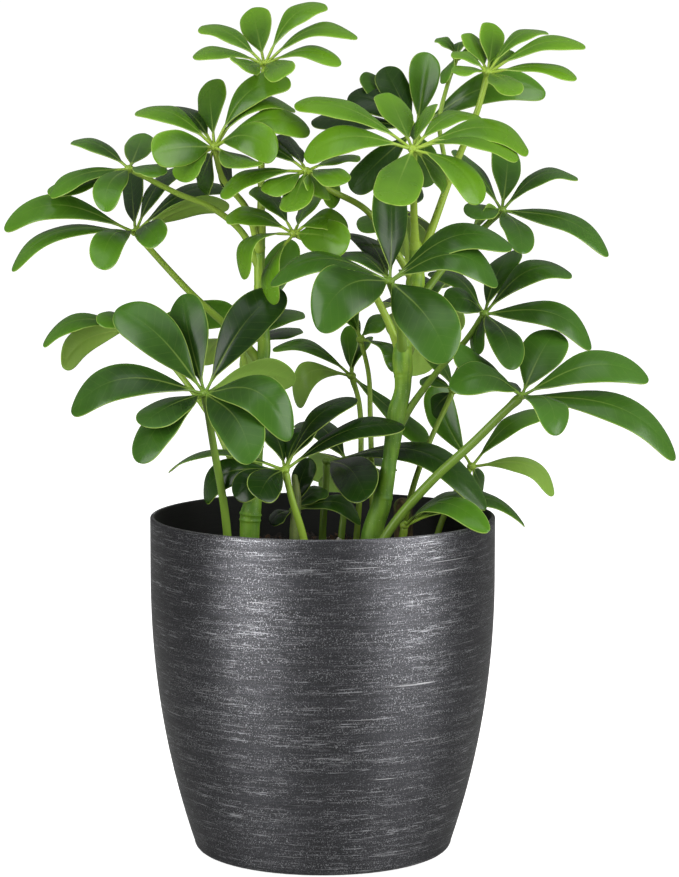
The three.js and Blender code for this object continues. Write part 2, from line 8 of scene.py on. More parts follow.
import bpy
import numpy as np
from bpy.props import FloatProperty, FloatVectorProperty, IntProperty, PointerProperty
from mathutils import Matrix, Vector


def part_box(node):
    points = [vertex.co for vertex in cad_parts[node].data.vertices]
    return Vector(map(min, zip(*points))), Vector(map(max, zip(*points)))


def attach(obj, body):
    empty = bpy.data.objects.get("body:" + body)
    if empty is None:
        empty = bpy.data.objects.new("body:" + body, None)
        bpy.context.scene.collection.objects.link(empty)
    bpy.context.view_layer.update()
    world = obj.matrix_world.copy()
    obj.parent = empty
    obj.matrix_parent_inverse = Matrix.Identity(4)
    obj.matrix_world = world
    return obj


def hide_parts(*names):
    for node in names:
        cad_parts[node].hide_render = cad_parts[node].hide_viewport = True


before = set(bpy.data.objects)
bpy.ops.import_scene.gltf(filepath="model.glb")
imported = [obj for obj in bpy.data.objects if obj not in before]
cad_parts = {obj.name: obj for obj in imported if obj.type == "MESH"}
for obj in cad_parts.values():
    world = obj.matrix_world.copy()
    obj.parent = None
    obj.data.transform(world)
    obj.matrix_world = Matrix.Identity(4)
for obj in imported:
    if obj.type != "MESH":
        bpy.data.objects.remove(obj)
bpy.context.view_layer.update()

bl_info = {
    "name": "Potted umbrella plant",
    "version": (1, 0, 0),
    "blender": (4, 5, 0),
    "location": "3D View > Sidebar > Plant",
    "description": "Makes a dwarf umbrella plant in a brushed metal planter, with its stage",
    "category": "Add Mesh",
}

MM = 0.001
BODY = "root"
ROUND = 2 * np.pi

# Every stem and leaf is placed by where this eye sees it on the upright plane y = 0, and by its depth
EYE = np.array([7.8, -1440.0, 361.0])

# A leaflet, with the same values as its solid. Its stalk: the share of its length by age, and the radius.
STALK_SHARE = {"young": 0.17, "middle": 0.12, "old": 0.1}
STALK_RADIUS = 0.7
# Its width: how much fuller it is drawn than the table says, and the least that it is wider than seen
SPREAD = 1.06
SEEN_MARGIN = 1.02
# Its arch: a shift above 1 moves the peak towards the tip, and the rise is for an arch of 1 mm
ARCH_SHIFT = 1.25
ARCH_RISE = 1.4
# How far its halves slope back, as a share of the half width
FOLD = 0.13
# The share of the reach that even a leaflet seen at full length can lean by, and how much an arch
# seeks the side
LEAST_LEAN = 0.4
OUTWARD = 0.3
HUB_RADIUS = 2.3

# The outline by age: where it is widest, as a share of the blade, how slender its base is on a
# leaflet that stands up, and how blunt its tip is where the blade faces the eye. A leaflet that
# droops has a full base, and one that is turned away has a finer tip. It stands up by how far it
# climbs for its length, from the first value of CLIMB to the second.
OUTLINE = {"young": (0.7, 1.4, 4.2), "middle": (0.67, 1.2, 3.4), "old": (0.65, 1.1, 2.8)}
FULL_BASE = 0.85
FINE_TIP = 2.2
CLIMB = (0.2, 0.9)

# A finished tip is rounder than the point of the solid, so it ends this much sooner, and its last
# ring stands this share of the blade from the base, so that it keeps a little width
TIP_TRIM = 0.8
LAST_RING = 0.9985

# A leaflet that droops, and has its own widest place, hides half of its stalk under its base
DROOPING_STALK = 0.5

# The rest of a leaflet's form, in shares of the blade's length, half width or stalk's radius: how
# the stalk swells at the hub and where the blade takes over from it, where the midrib's groove
# starts and fades, how the halves slack, how the margin waves along the blade, how far one blade
# curls more than another, how much deeper the rib stands out below, and how the blade thins to its
# margin and, where it is narrower than THIN_BELOW, towards its ends
STALK_RINGS = 3
STALK_SWELL, SWELL_REACH = 0.45, 0.035
BLADE_START, STALK_FADE = 0.1, 0.06
GROOVE_START, GROOVE_END = 0.15, 0.75
SLACK_POWER = 1.5
WAVES = (1.2, 2.0)
CURL = 0.05
RIB_BELOW = 1.6
MARGIN_THINNING = 0.3
MARGIN_POWER = 8
THIN_BELOW = 2.2

# Where a leaflet's rings are cut, from its midrib to short of its margin, as shares of its half width
CUTS = (0.0, 0.1, 0.26, 0.48, 0.7, 0.86, 0.96)

# A petiole swells by this share below its hub, over this length, and its sheath widens it over this
# length above its root
KNEE_SWELL, KNEE_LENGTH = 0.22, 3.0
SHEATH_LENGTH = 9.0
PETIOLE_SIDES, PETIOLE_RINGS = 14, 44
STEM_SIDES, STEM_RINGS = 24, 260
# A rod's round cap ends in a ring of this share of its section's area
CAP_END = 0.0025
# The hub is a ball, a little flat, whose first ring stands at this angle from its pole, in radians
HUB_RINGS, HUB_SIDES, HUB_POLE, HUB_SQUASH = 9, 14, 0.12, 0.85

# A stem's rings are this high up and down, and a sheath swells and closes over these heights
RING_HALF_HEIGHT = 0.55
SHEATH_FOOT, SHEATH_TOP = 2.5, 7.0

# The planter: its flat foot, the corner above it, and how it leans in below the belly
POT_FOOT_RADIUS = 54.0
POT_BASE_RADIUS = 58.8
POT_BELLY_HEIGHT = 130.0
POT_BELLY_POWER = 2.1
POT_CORNER_HEIGHT = 4.5
POT_CORNER_PULL = (0.4, 0.2)
POT_FLOOR = 3.0
POT_SIDES, POT_RINGS, POT_CORNER_RINGS = 144, 44, 8
# Each of the rim's two rounded edges has this many rings, and this many of both are on the outside
RIM_RINGS, RIM_SILVER_RINGS = 6, 7
# Radii of the rings that its foot and its floor are cut into
POT_FLAT_RINGS = (6.0, 30.0)
# The bare silver edge dies out over this height under the rim
POT_RIM_WEAR = 0.3
# The soil stays this far from the pot
GAP = 0.3

# The soil's lumps, which the solid has too: the pitches of their waves along x and y
LUMP_PITCH = (6.0, 8.0)
# Forty finer waves over them: their least and greatest pitch, and their height for 1 mm of pitch
FINE_WAVES, FINE_PITCH, FINE_HEIGHT = 40, (3.0, 9.0), 0.035
SOIL_SIDES, SOIL_RINGS, SOIL_WALL_RINGS = 160, 70, 12
# The innermost ring on top, as a share of the radius, and the ring that its underside is closed from
SOIL_INNERMOST, SOIL_UNDER_RING = 0.02, 20.0
# The lumps die out from this share of the radius on, so that the soil ends level at the pot
SOIL_LEVEL_FROM = 0.96

# Loose grains: peat up to the first share of them, then bark up to the second, and the rest white,
# with the value that tells the material which is which. Bark chips are longer than the rest.
GRAIN_SHARES = (0.62, 0.965)
PEAT, BARK, WHITE_GRAIN = 0.0, 0.65, 1.0
BARK_STRETCH = 1.9
GRAIN_RINGS, GRAIN_SIDES, GRAIN_POLE = 3, 6, 0.5
GRAIN_SIZES = (0.25, 0.75)
GRAIN_ROUGHNESS = (0.75, 1.2)
GRAIN_LIFT = 0.3
GRAIN_EDGE = 2.0

# Where the chance draws of each piece start
SOIL_SEED = 31
LEAF_SEED = 12

# Stems: points (x, z, depth, radius) from the soil up, the heights of the thin rings, and the foot
# and top of each sheath
STEMS = [
    dict(
        name="stem_left",
        path=[
            [-34, 108, 0, 4.4], [-34, 146, 0, 4.5], [-33.5, 157, 0, 4.9], [-32.5, 163, 0, 4.1],
            [-31, 190, 0, 3.6], [-27.5, 229, 0, 3.1], [-27, 235, 0, 3], [-29, 270, 0, 2.6],
            [-28.5, 291, 0, 2.4],
        ],
        rings=[154.6, 157.4, 189, 226, 263, 281], sheaths=[],
    ),
    dict(
        name="stem_right",
        path=[
            [20, 108, -5, 5], [23, 148, -5, 5], [27.5, 163, -5, 4.4], [31, 182, -5, 3.4],
            [34.5, 205, -5, 4.4], [37, 216, -5, 3.8], [37, 236, -5, 4.2], [40, 250, -5, 3.5],
            [43, 268, -5, 3.8], [42.5, 285, -5, 2.8],
        ],
        rings=[166, 199, 222, 236.5, 262, 272.5], sheaths=[(222, 236), (262, 272)],
    ),
    dict(
        name="shoot_short",
        path=[[-13, 108, 2, 2.4], [-13, 150, 2, 2.4], [-12, 165, 2, 2], [-13, 176, 3, 1.2]],
        rings=[158, 171], sheaths=[],
    ),
    dict(
        name="cane_stub",
        path=[[38, 108, 23, 4.6], [37.5, 150, 23, 4.6], [37, 165, 23, 4.3]],
        rings=[150], sheaths=[],
    ),
]

# The waves that make a stem a little uneven: their height as a share of its radius, and their pitch
# and phase
STEM_WAVES = ((0.012, 2.3, 0), (0.01, 5.1, 1))

# Leaves. hub: [x, z, depth]. reach and blade: a full leaflet's length and width. petiole: its points.
# leaflets: [x, z of the tip, lean from -1 to 1, width that is seen, arch, widest place if it is its own];
# a negative width is the underside
LEAVES = [
    dict(
        name="leaf_top_left", age="young", on="stem_left",
        hub=[-26.5, 364.5, 0], reach=46, blade=13.5, thick=[1.9, 1.2],
        petiole=[[-28.5, 287, 0], [-28.2, 300, 0], [-28, 317, 0], [-27.5, 343.5, 0]],
        leaflets=[
            [-60, 367, -0.3, 4.5, 3.5], [-56, 381.5, 0.6, 8, 3], [-32, 390.5, 0.8, 14, 0],
            [2.3, 391.4, 0.5, 9, 5.0], [17, 376, 0, 6.5, 7], [9.3, 363.5, -0.4, 5.5, 5],
            [-17, 358.7, -0.9, 12, 1.5], [-39, 364.5, -0.6, 8, 0],
        ],
    ),
    dict(
        name="leaf_upper_left", age="young", on="stem_left",
        hub=[-49.5, 327, -20], reach=46, blade=16, thick=[1.7, 1.2],
        petiole=[[-28.7, 279, -0.5], [-35, 299, -5], [-45.8, 312.7, -13]],
        leaflets=[
            [-86.4, 342.2, 0.3, 8.5, 4.8, 0.55], [-70, 345, 0.8, 10, 3], [-52, 357.5, 0.7, 13, 0],
            [-14.3, 358, 0.3, 12, 5.8], [-4.7, 333.2, -0.3, 11, 6.6], [-19.7, 322.7, -0.5, 15, 5],
            [-32, 317.8, -0.8, 9, 0], [-78.8, 324, -0.6, 15.8, 1, 0.57], [-66, 310.5, -0.2, 10, 2],
            [-11.5, 342.8, 0.4, 7, 8.5],
            [-57, 308.5, 0.6, 10, 0], [-41.5, 311, 0.6, 9, 0],
        ],
    ),
    dict(
        name="leaf_left_upper", age="middle", on="stem_left",
        hub=[-88.5, 317, -5], reach=40, blade=13, thick=[1.7, 1.2],
        petiole=[[-29, 272, 0], [-37, 288, -1], [-50.5, 299, -3], [-67, 306, -4]],
        leaflets=[
            [-115, 329.3, 0.5, 7, 2.8], [-125.6, 303.6, -0.3, 7.5, 3.5], [-100, 296.3, -0.8, 12, 3.3, 0.52],
            [-81.5, 333.5, 1, 12, 0], [-73.5, 313.4, -0.6, 6, 2], [-127, 306.5, 0.35, 7, 0],
        ],
    ),
    dict(
        name="leaf_left_middle", age="middle", on="stem_left",
        hub=[-86, 288, 10], reach=62, blade=14, thick=[1.9, 1.3],
        petiole=[[-27.5, 226, 0], [-37, 238, 2], [-60.3, 259.7, 5], [-79.5, 280.5, 9]],
        leaflets=[
            [-147, 289, 0, 11.5, 8.5], [-143.5, 269.3, -0.3, 7, 8], [-102.3, 270, -0.8, 12.5, 4.8],
            [-74.5, 282, -0.6, 13, 3], [-88, 317, 0.6, 10.5, 0], [-64, 318.4, 0.6, 8.5, 3],
            [-42, 308, 0.3, 8, 5], [-42, 300.5, -0.1, -9, 3.3],
        ],
    ),
    dict(
        name="leaf_centre_left_upper", age="young", on="stem_right",
        hub=[-7.3, 316, -32], reach=44, blade=14, thick=[1.8, 1.2],
        petiole=[[43, 264, -5], [33, 280, -10], [20, 298.2, -18], [0, 309.3, -28]],
        leaflets=[
            [-47.5, 303.5, -0.3, 7.5, 4], [-14.5, 297, -0.8, 11.5, 0.3, 0.52], [10, 309.4, -0.6, 8, 2],
            [17.9, 322.4, 0.2, 4, 1.5], [-37, 331, 0.4, 8, 2], [-1, 303, -0.4, 8, 1], [-17, 333, 0.5, 7, 0],
            [-26, 305, -0.4, 9, 1], [8, 302, 0.3, 10, 1],
        ],
    ),
    dict(
        name="leaf_centre_left", age="young", on="stem_right",
        hub=[-13.2, 287.4, -25], reach=40, blade=15, thick=[1.9, 1.2],
        petiole=[[36.8, 231, -5], [28, 251.5, -8], [20.5, 264, -14], [4, 279, -21]],
        leaflets=[
            [-45, 294.7, 0.2, 9, 3], [-31, 309, 0.6, 9, 1.5], [-3, 306, 0.6, 7, 0.5],
            [12.6, 288, -0.2, 9, 5], [12.6, 281.2, -0.7, 15.5, 1.5, 0.52], [-36, 264.5, -0.5, 6.5, 8.5],
            [-21.2, 253.6, -0.7, 6.5, 5],
        ],
    ),
    dict(
        name="leaf_centre_top", age="young", on="stem_right",
        hub=[41.3, 326, -35], reach=56, blade=17, thick=[1.9, 1.3],
        petiole=[[42.5, 279, -5], [42, 296, -13], [41.6, 312, -25]],
        leaflets=[
            [-13.7, 346, 0.2, 8, 5], [-9.2, 321.5, -0.3, 12.5, 5.7], [30, 352, 0.7, 13, 0],
            [47.8, 345.3, 0.5, 7.5, 0.3], [72, 340.6, 0.4, 8, 4.5], [90.5, 320.5, -0.2, 8, 6],
            [95, 324, 0.3, 11, 7.7], [72.3, 299.7, -0.5, 11, 5], [31.4, 300.3, -0.9, 19, 0.3, 0.5],
            [57, 309, 0.3, 9, 1.5],
        ],
    ),
    dict(
        name="leaf_centre_top_back", age="middle", on="stem_right",
        hub=[43, 335, 40], reach=46, blade=15, thick=[1.8, 1.2],
        petiole=[[42, 256, -5], [42.5, 275, 8], [42, 318, 28]],
        leaflets=[
            [48.5, 370.6, 0.5, 14, 0], [28, 364, 0.3, 14, 0], [18.5, 361.5, 0.4, 9, 0], [11, 350, 0.2, 12, 3],
            [102.8, 351.6, 0, 14.5, 7.3], [-6, 338, 0, 9, 2], [13, 306, -0.2, 13, 1],
            [50, 309, 0.4, 11, 1],
        ],
    ),
    dict(
        name="leaf_top_right", age="young", on="stem_right",
        hub=[75.5, 360.6, 0], reach=44, blade=12.5, thick=[2.1, 1.2],
        petiole=[[43, 272, -5], [50, 289, -2], [58.8, 313.5, 0], [70.9, 343.7, 0]],
        leaflets=[
            [120.8, 372.3, 0.2, 7, 5], [117, 357.4, -0.2, 5, 3.5], [78.5, 383.2, 0.7, 11, 0],
            [103, 378.8, 0.5, 6.5, 4.6], [67.5, 379, 0.6, 8.5, 0], [88.5, 350, -0.8, 9, 1.5, 0.55],
            [58.1, 369.6, 0.1, 4.5, 2], [59.8, 359.8, -0.3, 4, 2], [84, 371.5, 0.3, 7, 0],
        ],
    ),
    dict(
        name="leaf_top_right_back", age="middle", on="stem_right",
        hub=[61.5, 368, 22], reach=24, blade=9, thick=[1.3, 0.9],
        petiole=[[43.2, 268, -4], [50, 288.5, 5], [57, 310, 11], [53.5, 338, 15], [56.5, 353, 18]],
        leaflets=[
            [50.8, 375.7, 0.2, 5, 2], [66, 374, 0.7, 5, 2], [56, 355, -0.5, 4, 1.5], [70, 366, 0.5, 5, 2],
        ],
    ),
    dict(
        name="leaf_right_upper", age="old", on="stem_right",
        hub=[82.3, 298, 12], reach=52, blade=15, thick=[1.9, 1.3],
        petiole=[[41, 252, -5], [56, 272, 1], [72, 288, 8]],
        leaflets=[
            [84.3, 329, 0.6, 13.5, 0.7, 0.7], [117.9, 312, 0.2, 7.5, 6.3], [132, 276.2, -0.3, 9, 5.6, 0.52],
            [91.5, 277.4, -0.7, 11.5, 2.5, 0.55], [66.5, 294.5, -0.3, 8, 2], [60, 326, 0.6, 7, 1.5],
            [70, 292, -0.2, -6, 2],
        ],
    ),
    dict(
        name="leaf_centre", age="old", on="stem_right",
        hub=[31, 265.5, -45], reach=60, blade=18, thick=[2, 1.4],
        petiole=[[37, 232, -5], [35, 250, -24]],
        leaflets=[
            [-24.7, 262.6, -0.4, 9, 8.2], [-3, 242, -0.6, 23.5, 6.5, 0.52], [58, 227.3, -0.7, 23.5, 3, 0.47],
            [88, 280.6, 0.2, 12, 8.5], [81.5, 262.7, -0.1, 13, 9.5], [31, 312, 0.4, 15, 0.5],
            [12, 287, 0.8, 10, 3.5], [8, 278, 0.2, 7, 3],
        ],
    ),
    dict(
        name="leaf_right_middle", age="old", on="stem_right",
        hub=[74.5, 250.5, 5], reach=50, blade=16, thick=[1.8, 1.2],
        petiole=[[35, 198, -5], [40.5, 207, -5], [54, 225, -1], [65.5, 237.5, 2]],
        leaflets=[
            [115.5, 268, 0.3, 11, 7.3], [124.5, 233.3, -0.2, 12, 7.4, 0.55], [89, 280, 0.6, 11, 2],
            [87, 223.6, -0.9, 13, 3, 0.55], [72.5, 230.5, -0.2, 7, 2], [48, 269, 0.3, 7, 4.5],
            [55, 256, -0.3, 10, 3],
        ],
    ),
    dict(
        name="leaf_left_big", age="old", on="soil",
        hub=[-54.5, 213.5, -40], reach=66, blade=19, thick=[2.1, 1.5],
        petiole=[[-42.5, 108, -22], [-45, 154.5, -27], [-50.7, 190, -34]],
        leaflets=[
            [-95.5, 253, 0.4, 19.5, 3.3], [-64.5, 260, 0.5, 16.5, 0.8], [-18, 262, 0.6, 18.5, 3.3],
            [-117, 204, -0.2, 16, 8.5], [-84, 198, -0.5, 12, 1.7], [-85, 180, -0.6, 12.5, 4],
            [-33, 180, -0.7, 19.5, 4, 0.52], [-14, 191, -0.5, 18, 8.5, 0.57], [-11.5, 219, 0.5, -14, 4.5],
        ],
    ),
    dict(
        name="leaf_left_back", age="middle", on="stem_left",
        hub=[-86, 244, 28], reach=45, blade=13, thick=[1.8, 1.2],
        petiole=[[-32, 165, 0], [-42, 182, 4], [-50.2, 199.8, 9], [-68, 225, 19]],
        leaflets=[
            [-129.5, 234.8, 0, 8, 6.5], [-120.5, 224.7, -0.2, -12, 5], [-104, 245, -0.5, 7, 3],
            [-39, 251, 0.2, 13, 1],
        ],
    ),
    dict(
        name="leaf_right_big", age="old", on="soil",
        hub=[92, 212.5, -30], reach=72, blade=17, thick=[2.3, 1.8],
        petiole=[[10, 108, -15], [30.5, 149, -16], [50, 172.3, -19], [70, 191, -25], [83, 204, -28]],
        leaflets=[
            [57.5, 215.5, -0.3, 12.5, 5.5], [61, 236, 0.1, 11, -1], [108, 243, 0.45, 19, 1],
            [151.5, 219.5, -0.1, 14.3, 7.2, 0.57], [164, 182, -0.2, 12.6, 8.6, 0.6],
            [107.7, 192.6, -0.5, 12, 5.5, 0.55], [78.5, 219.3, 0.2, 4, 1.5],
        ],
    ),
    dict(
        name="leaf_low_left_centre", age="middle", on="soil",
        hub=[-17.5, 178, -28], reach=40, blade=14, thick=[1.9, 1.4],
        petiole=[[-2, 108, -22], [-9, 146.5, -24], [-14.5, 165, -27]],
        leaflets=[
            [-30, 163.7, -0.8, 15, 2], [-41, 163.7, -0.4, 12, 2.5], [-55, 163.5, 1, 13, 6],
            [-5, 198.8, 0.5, 10, 2], [-27, 198, 0.5, 9, 2], [17, 211, 0.3, 8.5, 5.2],
            [39, 197.8, -0.2, 8.5, 5.3], [-72, 176, 1, 3.5, 7],
        ],
    ),
    dict(
        name="leaf_centre_back", age="middle", on="soil",
        hub=[17.6, 238.6, 28], reach=30, blade=12, thick=[1.5, 1],
        petiole=[[24, 108, 20], [23, 165, 22], [22, 204, 25], [21.3, 222, 27]],
        leaflets=[
            [9, 250, 0.3, 5, 2], [31, 246, -0.3, 7, 3], [33, 222, -0.5, 6, 5], [2, 258, 0.6, 7, 2],
            [15, 270, 0.4, 8, 2],
        ],
    ),
    dict(
        name="leaf_centre_back_low", age="middle", on="soil",
        hub=[13.3, 221.8, 42], reach=34, blade=13, thick=[1.6, 1.1],
        petiole=[[12, 108, 30], [17, 165, 36], [17, 208, 40]],
        leaflets=[
            [11, 245.4, 0.4, 8, 0], [-24, 233.5, 0.3, 6, 5.5],
            [22, 240, 0.5, 7, 2], [-11.8, 206, -0.3, 12, 8.5], [49.5, 190.5, 0.2, 9, 0, 0.78],
        ],
    ),
    dict(
        name="leaf_right_low_back", age="middle", on="soil",
        hub=[69, 179.6, 30], reach=44, blade=15, thick=[1.6, 1.2],
        petiole=[[46, 108, 20], [54, 150, 24], [63, 170, 28]],
        leaflets=[
            [107.7, 165.2, -0.1, 8.5, 7], [104, 205, 0.4, 8.5, 4], [52, 219, 0.4, 14, -2],
            [74, 167, 0.25, 8, 0.5],
        ],
    ),
    dict(
        name="leaf_low_centre", age="old", on="soil",
        hub=[2, 182, 26], reach=80, blade=17, thick=[1.9, 1.4],
        petiole=[[0, 108, 22], [0, 150, 24], [1.5, 170, 26]],
        leaflets=[[76.5, 158.3, -1, 11, 12.3], [20.5, 163.5, -0.68, 19, 3.5]],
    ),
    dict(
        name="leaf_low_right", age="middle", on="soil",
        hub=[38, 152, -2], reach=62, blade=13, thick=[1.8, 1.5],
        petiole=[[33, 108, 2], [36, 135, 0]],
        leaflets=[
            [94, 151, 0.9, 8, 9.5], [87, 160, 0.95, 6, 7], [78, 148, -0.95, 8, 8.5], [68, 167, 0.15, 4, 3],
        ],
    ),
    dict(
        name="leaf_right_behind", age="middle", on="soil",
        hub=[60.5, 215, 22], reach=32, blade=12, thick=[1.6, 1.1],
        petiole=[[30, 108, 10], [41, 166.5, 12], [49.5, 191, 16]],
        leaflets=[[44, 219, 0.1, 6, 2], [48, 231, 0.4, 7, 2], [70, 230, 0.6, 8, 1], [51, 203, 0.36, 10, 1]],
    ),
    dict(
        name="leaf_low_inner", age="old", on="soil",
        hub=[-13.5, 159, 13], reach=36, blade=12, thick=[1.6, 1.2],
        petiole=[[-10, 108, 10], [-12, 140, 12]],
        leaflets=[[18, 151.5, 0.1, 8, 6], [-24, 151, -0.1, 6, 2], [3, 168, 0.15, 8, 2], [-5, 184, 0, 10, 1]],
    ),
    dict(
        name="leaf_back_right", age="middle", on="stem_right",
        hub=[47, 250, 56], reach=52, blade=17, thick=[1.8, 1.3],
        petiole=[[36.8, 222, -5], [40, 232, 18], [45, 243, 42]],
        leaflets=[
            [36, 238, 0.9, -12, 5], [60, 240, 0.9, -12, 5], [56, 262, 0.8, 11, 5], [38, 268, 0.8, 11, 5],
            [30, 253, 0.9, 8, 5], [45, 221.5, 0.5, -15, 1],
        ],
    ),
    dict(
        name="leaf_back_left", age="middle", on="stem_left",
        hub=[-38, 236, 50], reach=54, blade=17, thick=[1.8, 1.3],
        petiole=[[-30.5, 196, 0], [-32, 208, 16], [-36, 228, 38]],
        leaflets=[
            [-56, 226, 0.8, -10, 5], [-52, 248, 0.8, 10, 5], [-8, 250.5, 0.3, 9, 3.5],
            [-10, 243.5, 0.5, 5, 1], [-34, 218, 0.8, -12, 5], [-13, 285, 0.1, 14, 1],
        ],
    ),
    dict(
        name="leaf_back_centre", age="middle", on="stem_right",
        hub=[36, 298, 62], reach=50, blade=16, thick=[1.8, 1.3],
        petiole=[[41.5, 246, -5], [41, 262, 18], [38, 285, 46]],
        leaflets=[
            [27, 312, 0.8, 10, 4], [41, 316, 0.8, 10, 3], [31, 284, 0.8, -9, 2], [44, 287, 0.7, -8, 3],
            [37, 276, 0.7, -12, 5], [15, 290.5, 0, 9, 0],
        ],
    ),
    dict(
        name="leaf_back_low", age="old", on="soil",
        hub=[12, 181, 56], reach=52, blade=17, thick=[1.8, 1.3],
        petiole=[[6, 108, 42], [9, 150, 47], [11, 168, 51]],
        leaflets=[
            [27, 166, 0.9, -12, 3], [-4, 172, 0.9, -12, 5], [-11.5, 199.5, 0.6, 12, 4], [31, 179, 0.8, 7, 3],
            [10, 164, 0.7, -14, 5],
        ],
    ),
]

# How much darker each leaf is painted than the rest of its kind, from 0 to 1, and how much paler
# below 0: painted shade for leaves deep in the plant, painted light for some lit ones, and partly
# their own tone; and how much darker the leaflets on the far side of a hub are painted, as painted shade
FAR_SHADE = 0.6
SHADES = {
    "leaf_left_big": 0.35, "leaf_centre_top_back": 0.1, "leaf_low_inner": 0.8, "leaf_low_centre": 0.8,
    "leaf_back_low": 0.6, "leaf_right_upper": -0.6, "leaf_left_middle": 0.5, "leaf_right_big": -1.1,
    "leaf_centre": -0.2, "leaf_centre_top": -0.7, "leaf_top_right": -0.8, "leaf_top_right_back": -0.4,
    "leaf_back_left": 0.8, "leaf_back_right": 0.8, "leaf_back_centre": 0.8, "leaf_centre_back": 0.5,
    "leaf_centre_back_low": 0.4, "leaf_right_behind": 0.5, "leaf_low_left_centre": 0.4,
}

# Leaflets, by their place in the leaf, that show the pale skin of their underside to the front
PALE = {"leaf_centre_back_low": (3,), "leaf_right_low_back": (0,)}

# Leaflets, by their place in the leaf, that stand in deep shade, and how much darker that makes them
DEEP_SHADE = 1.0
DARK = {
    "leaf_centre_top_back": (1, 2, 3, 5, 6), "leaf_low_left_centre": (0, 1, 3, 4, 5, 6),
    "leaf_upper_left": (1, 10, 11), "leaf_centre_left_upper": (4, 6), "leaf_left_middle": (4, 6),
    "leaf_centre_top": (9,), "leaf_right_middle": (6,), "leaf_centre": (6,),
}

# The skins of the three ages, whose blade colours are settings: deeper patches, also used for
# painted shade, the light tip and edge, partly their own colour and partly painted light, the
# underside, whose paleness is partly painted light shining through, the stalk, and the roughness
LEAF_SKINS = {
    "young": dict(
        name="young_leaf_skin", deep="#305310", tip="#6b991f", under="#97b34a", stalk="#9cb544", gloss=0.22,
    ),
    "middle": dict(
        name="grown_leaf_skin", deep="#25450f", tip="#568620", under="#88aa46", stalk="#8fab3f", gloss=0.2,
    ),
    "old": dict(
        name="old_leaf_skin", deep="#152b0c", tip="#467222", under="#86ab4a", stalk="#779538", gloss=0.2,
    ),
}
# The near black green that painted shade takes a leaflet towards
DEEP_SHADE_COLOUR = "#12250b"

# How far one leaf's or leaflet's tone strays from the rest, and how pale a leaflet that shows the
# skin of its underside is
LEAF_TONES = (-1, 1)
LEAFLET_TONES = (-0.65, 0.65)
PALENESS = 0.65

# Side veins leave the midrib this far apart, and run forward by this share of their way out
VEIN_SPACING = 4.5
VEIN_SLANT = 0.75

# The camera stands at the eye, looks along +Y and is tipped down; its film is 36 mm on the long side
CAMERA_LENS = 128.57
CAMERA_PITCH = 6.67
CAMERA_CLIP = (0.05, 20.0)

# The strength at which the world behind the plant is seen as clean white
WHITE = 1.05

# Soft lights aimed at the middle of the plant: azimuth and elevation in degrees, distance and size in
# metres, the setting that gives their power and their share of it, and their tint
AIM = np.array([0.0, 0.0, 0.2])
LIGHTS = (
    ("side_left", (-46, 12), 1.7, (1.1, 1.6), "key_power", 0.94, "#ffffff"),
    ("side_right", (58, 12), 1.7, (1.3, 1.6), "key_power", 1.12, "#ffffff"),
    ("top_soft", (-8, 66), 1.8, (1.4, 1.0), "top_power", 1.0, "#f8fbff"),
)
FLOOR_RINGS, FLOOR_SIDES, FLOOR_INNERMOST = 24, 96, 0.02

# The sockets of a colour Mix node by number, because their names come more than once
MIX_SHARE, MIX_FIRST, MIX_SECOND, MIX_COLOUR = 0, 6, 7, 2

# The settings of nodes that are used most
SOFT = dict(interpolation_type="SMOOTHSTEP")
TIMES = dict(operation="MULTIPLY")
TIMES_PLUS = dict(operation="MULTIPLY_ADD")
PLUS = dict(operation="ADD", use_clamp=True)


def linear(hex_colour):
    """An sRGB hex colour as three linear values"""
    parts = [int(hex_colour[i:i + 2], 16) / 255 for i in (1, 3, 5)]
    return tuple(c / 12.92 if c <= 0.04045 else ((c + 0.055) / 1.055) ** 2.4 for c in parts)


def unit(vectors):
    """Vectors of length one"""
    return vectors / np.linalg.norm(vectors, axis=-1, keepdims=True)


def smoothstep(low, high, x):
    """A share that rises from 0 at low to 1 at high, level at both ends: 3 s^2 - 2 s^3"""
    s = np.clip((x - low) / (high - low), 0, 1)
    return s * s * (3 - 2 * s)


def bell(x):
    """A bell curve, 1 at 0: e^(-x^2)"""
    return np.exp(-x ** 2)


def circle(sides):
    """The angles of points evenly round a circle"""
    return np.linspace(0, ROUND, sides, endpoint=False)


def place(point):
    """The place in space that the eye sees at (x, z) on the plane y = 0, at depth y"""
    x, z, y = point[:3]
    seen = np.array([x, 0.0, z])
    return EYE + (seen - EYE) * (y - EYE[1]) / -EYE[1]


def smooth_path(points, steps):
    """A centripetal Catmull-Rom curve through points: between two of them it is the cubic whose slopes
    come from their neighbours, weighted by the square roots of the distances. Also returns each
    place's parameter, which counts the points passed."""
    points = np.asarray(points, float)
    ends = np.vstack([2 * points[0] - points[1], points, 2 * points[-1] - points[-2]])
    knots = np.sqrt(np.linalg.norm(np.diff(ends, axis=0), axis=1))
    t = np.linspace(0, len(points) - 1, steps + 1)
    k = np.minimum(t.astype(int), len(points) - 2)
    w = (t - k)[:, None]
    p0, p1, p2, p3 = (ends[k + i] for i in range(4))
    d0, d1, d2 = (knots[k + i][:, None] for i in range(3))
    s1 = ((p1 - p0) / d0 - (p2 - p0) / (d0 + d1) + (p2 - p1) / d1) * d1
    s2 = ((p2 - p1) / d1 - (p3 - p1) / (d1 + d2) + (p3 - p2) / d2) * d1
    cubic = p1 + s1 * w + (3 * p2 - 3 * p1 - 2 * s1 - s2) * w ** 2 + (2 * p1 - 2 * p2 + s1 + s2) * w ** 3
    return cubic, t


def ring_quads(rings, size):
    """The quads that join each ring of points to the next, all round"""
    start = np.arange(rings - 1)[:, None] * size
    here = np.arange(size)
    after = (here + 1) % size
    quads = np.stack([start + here, start + after, start + size + after, start + size + here], -1)
    return quads.reshape(-1, 4)


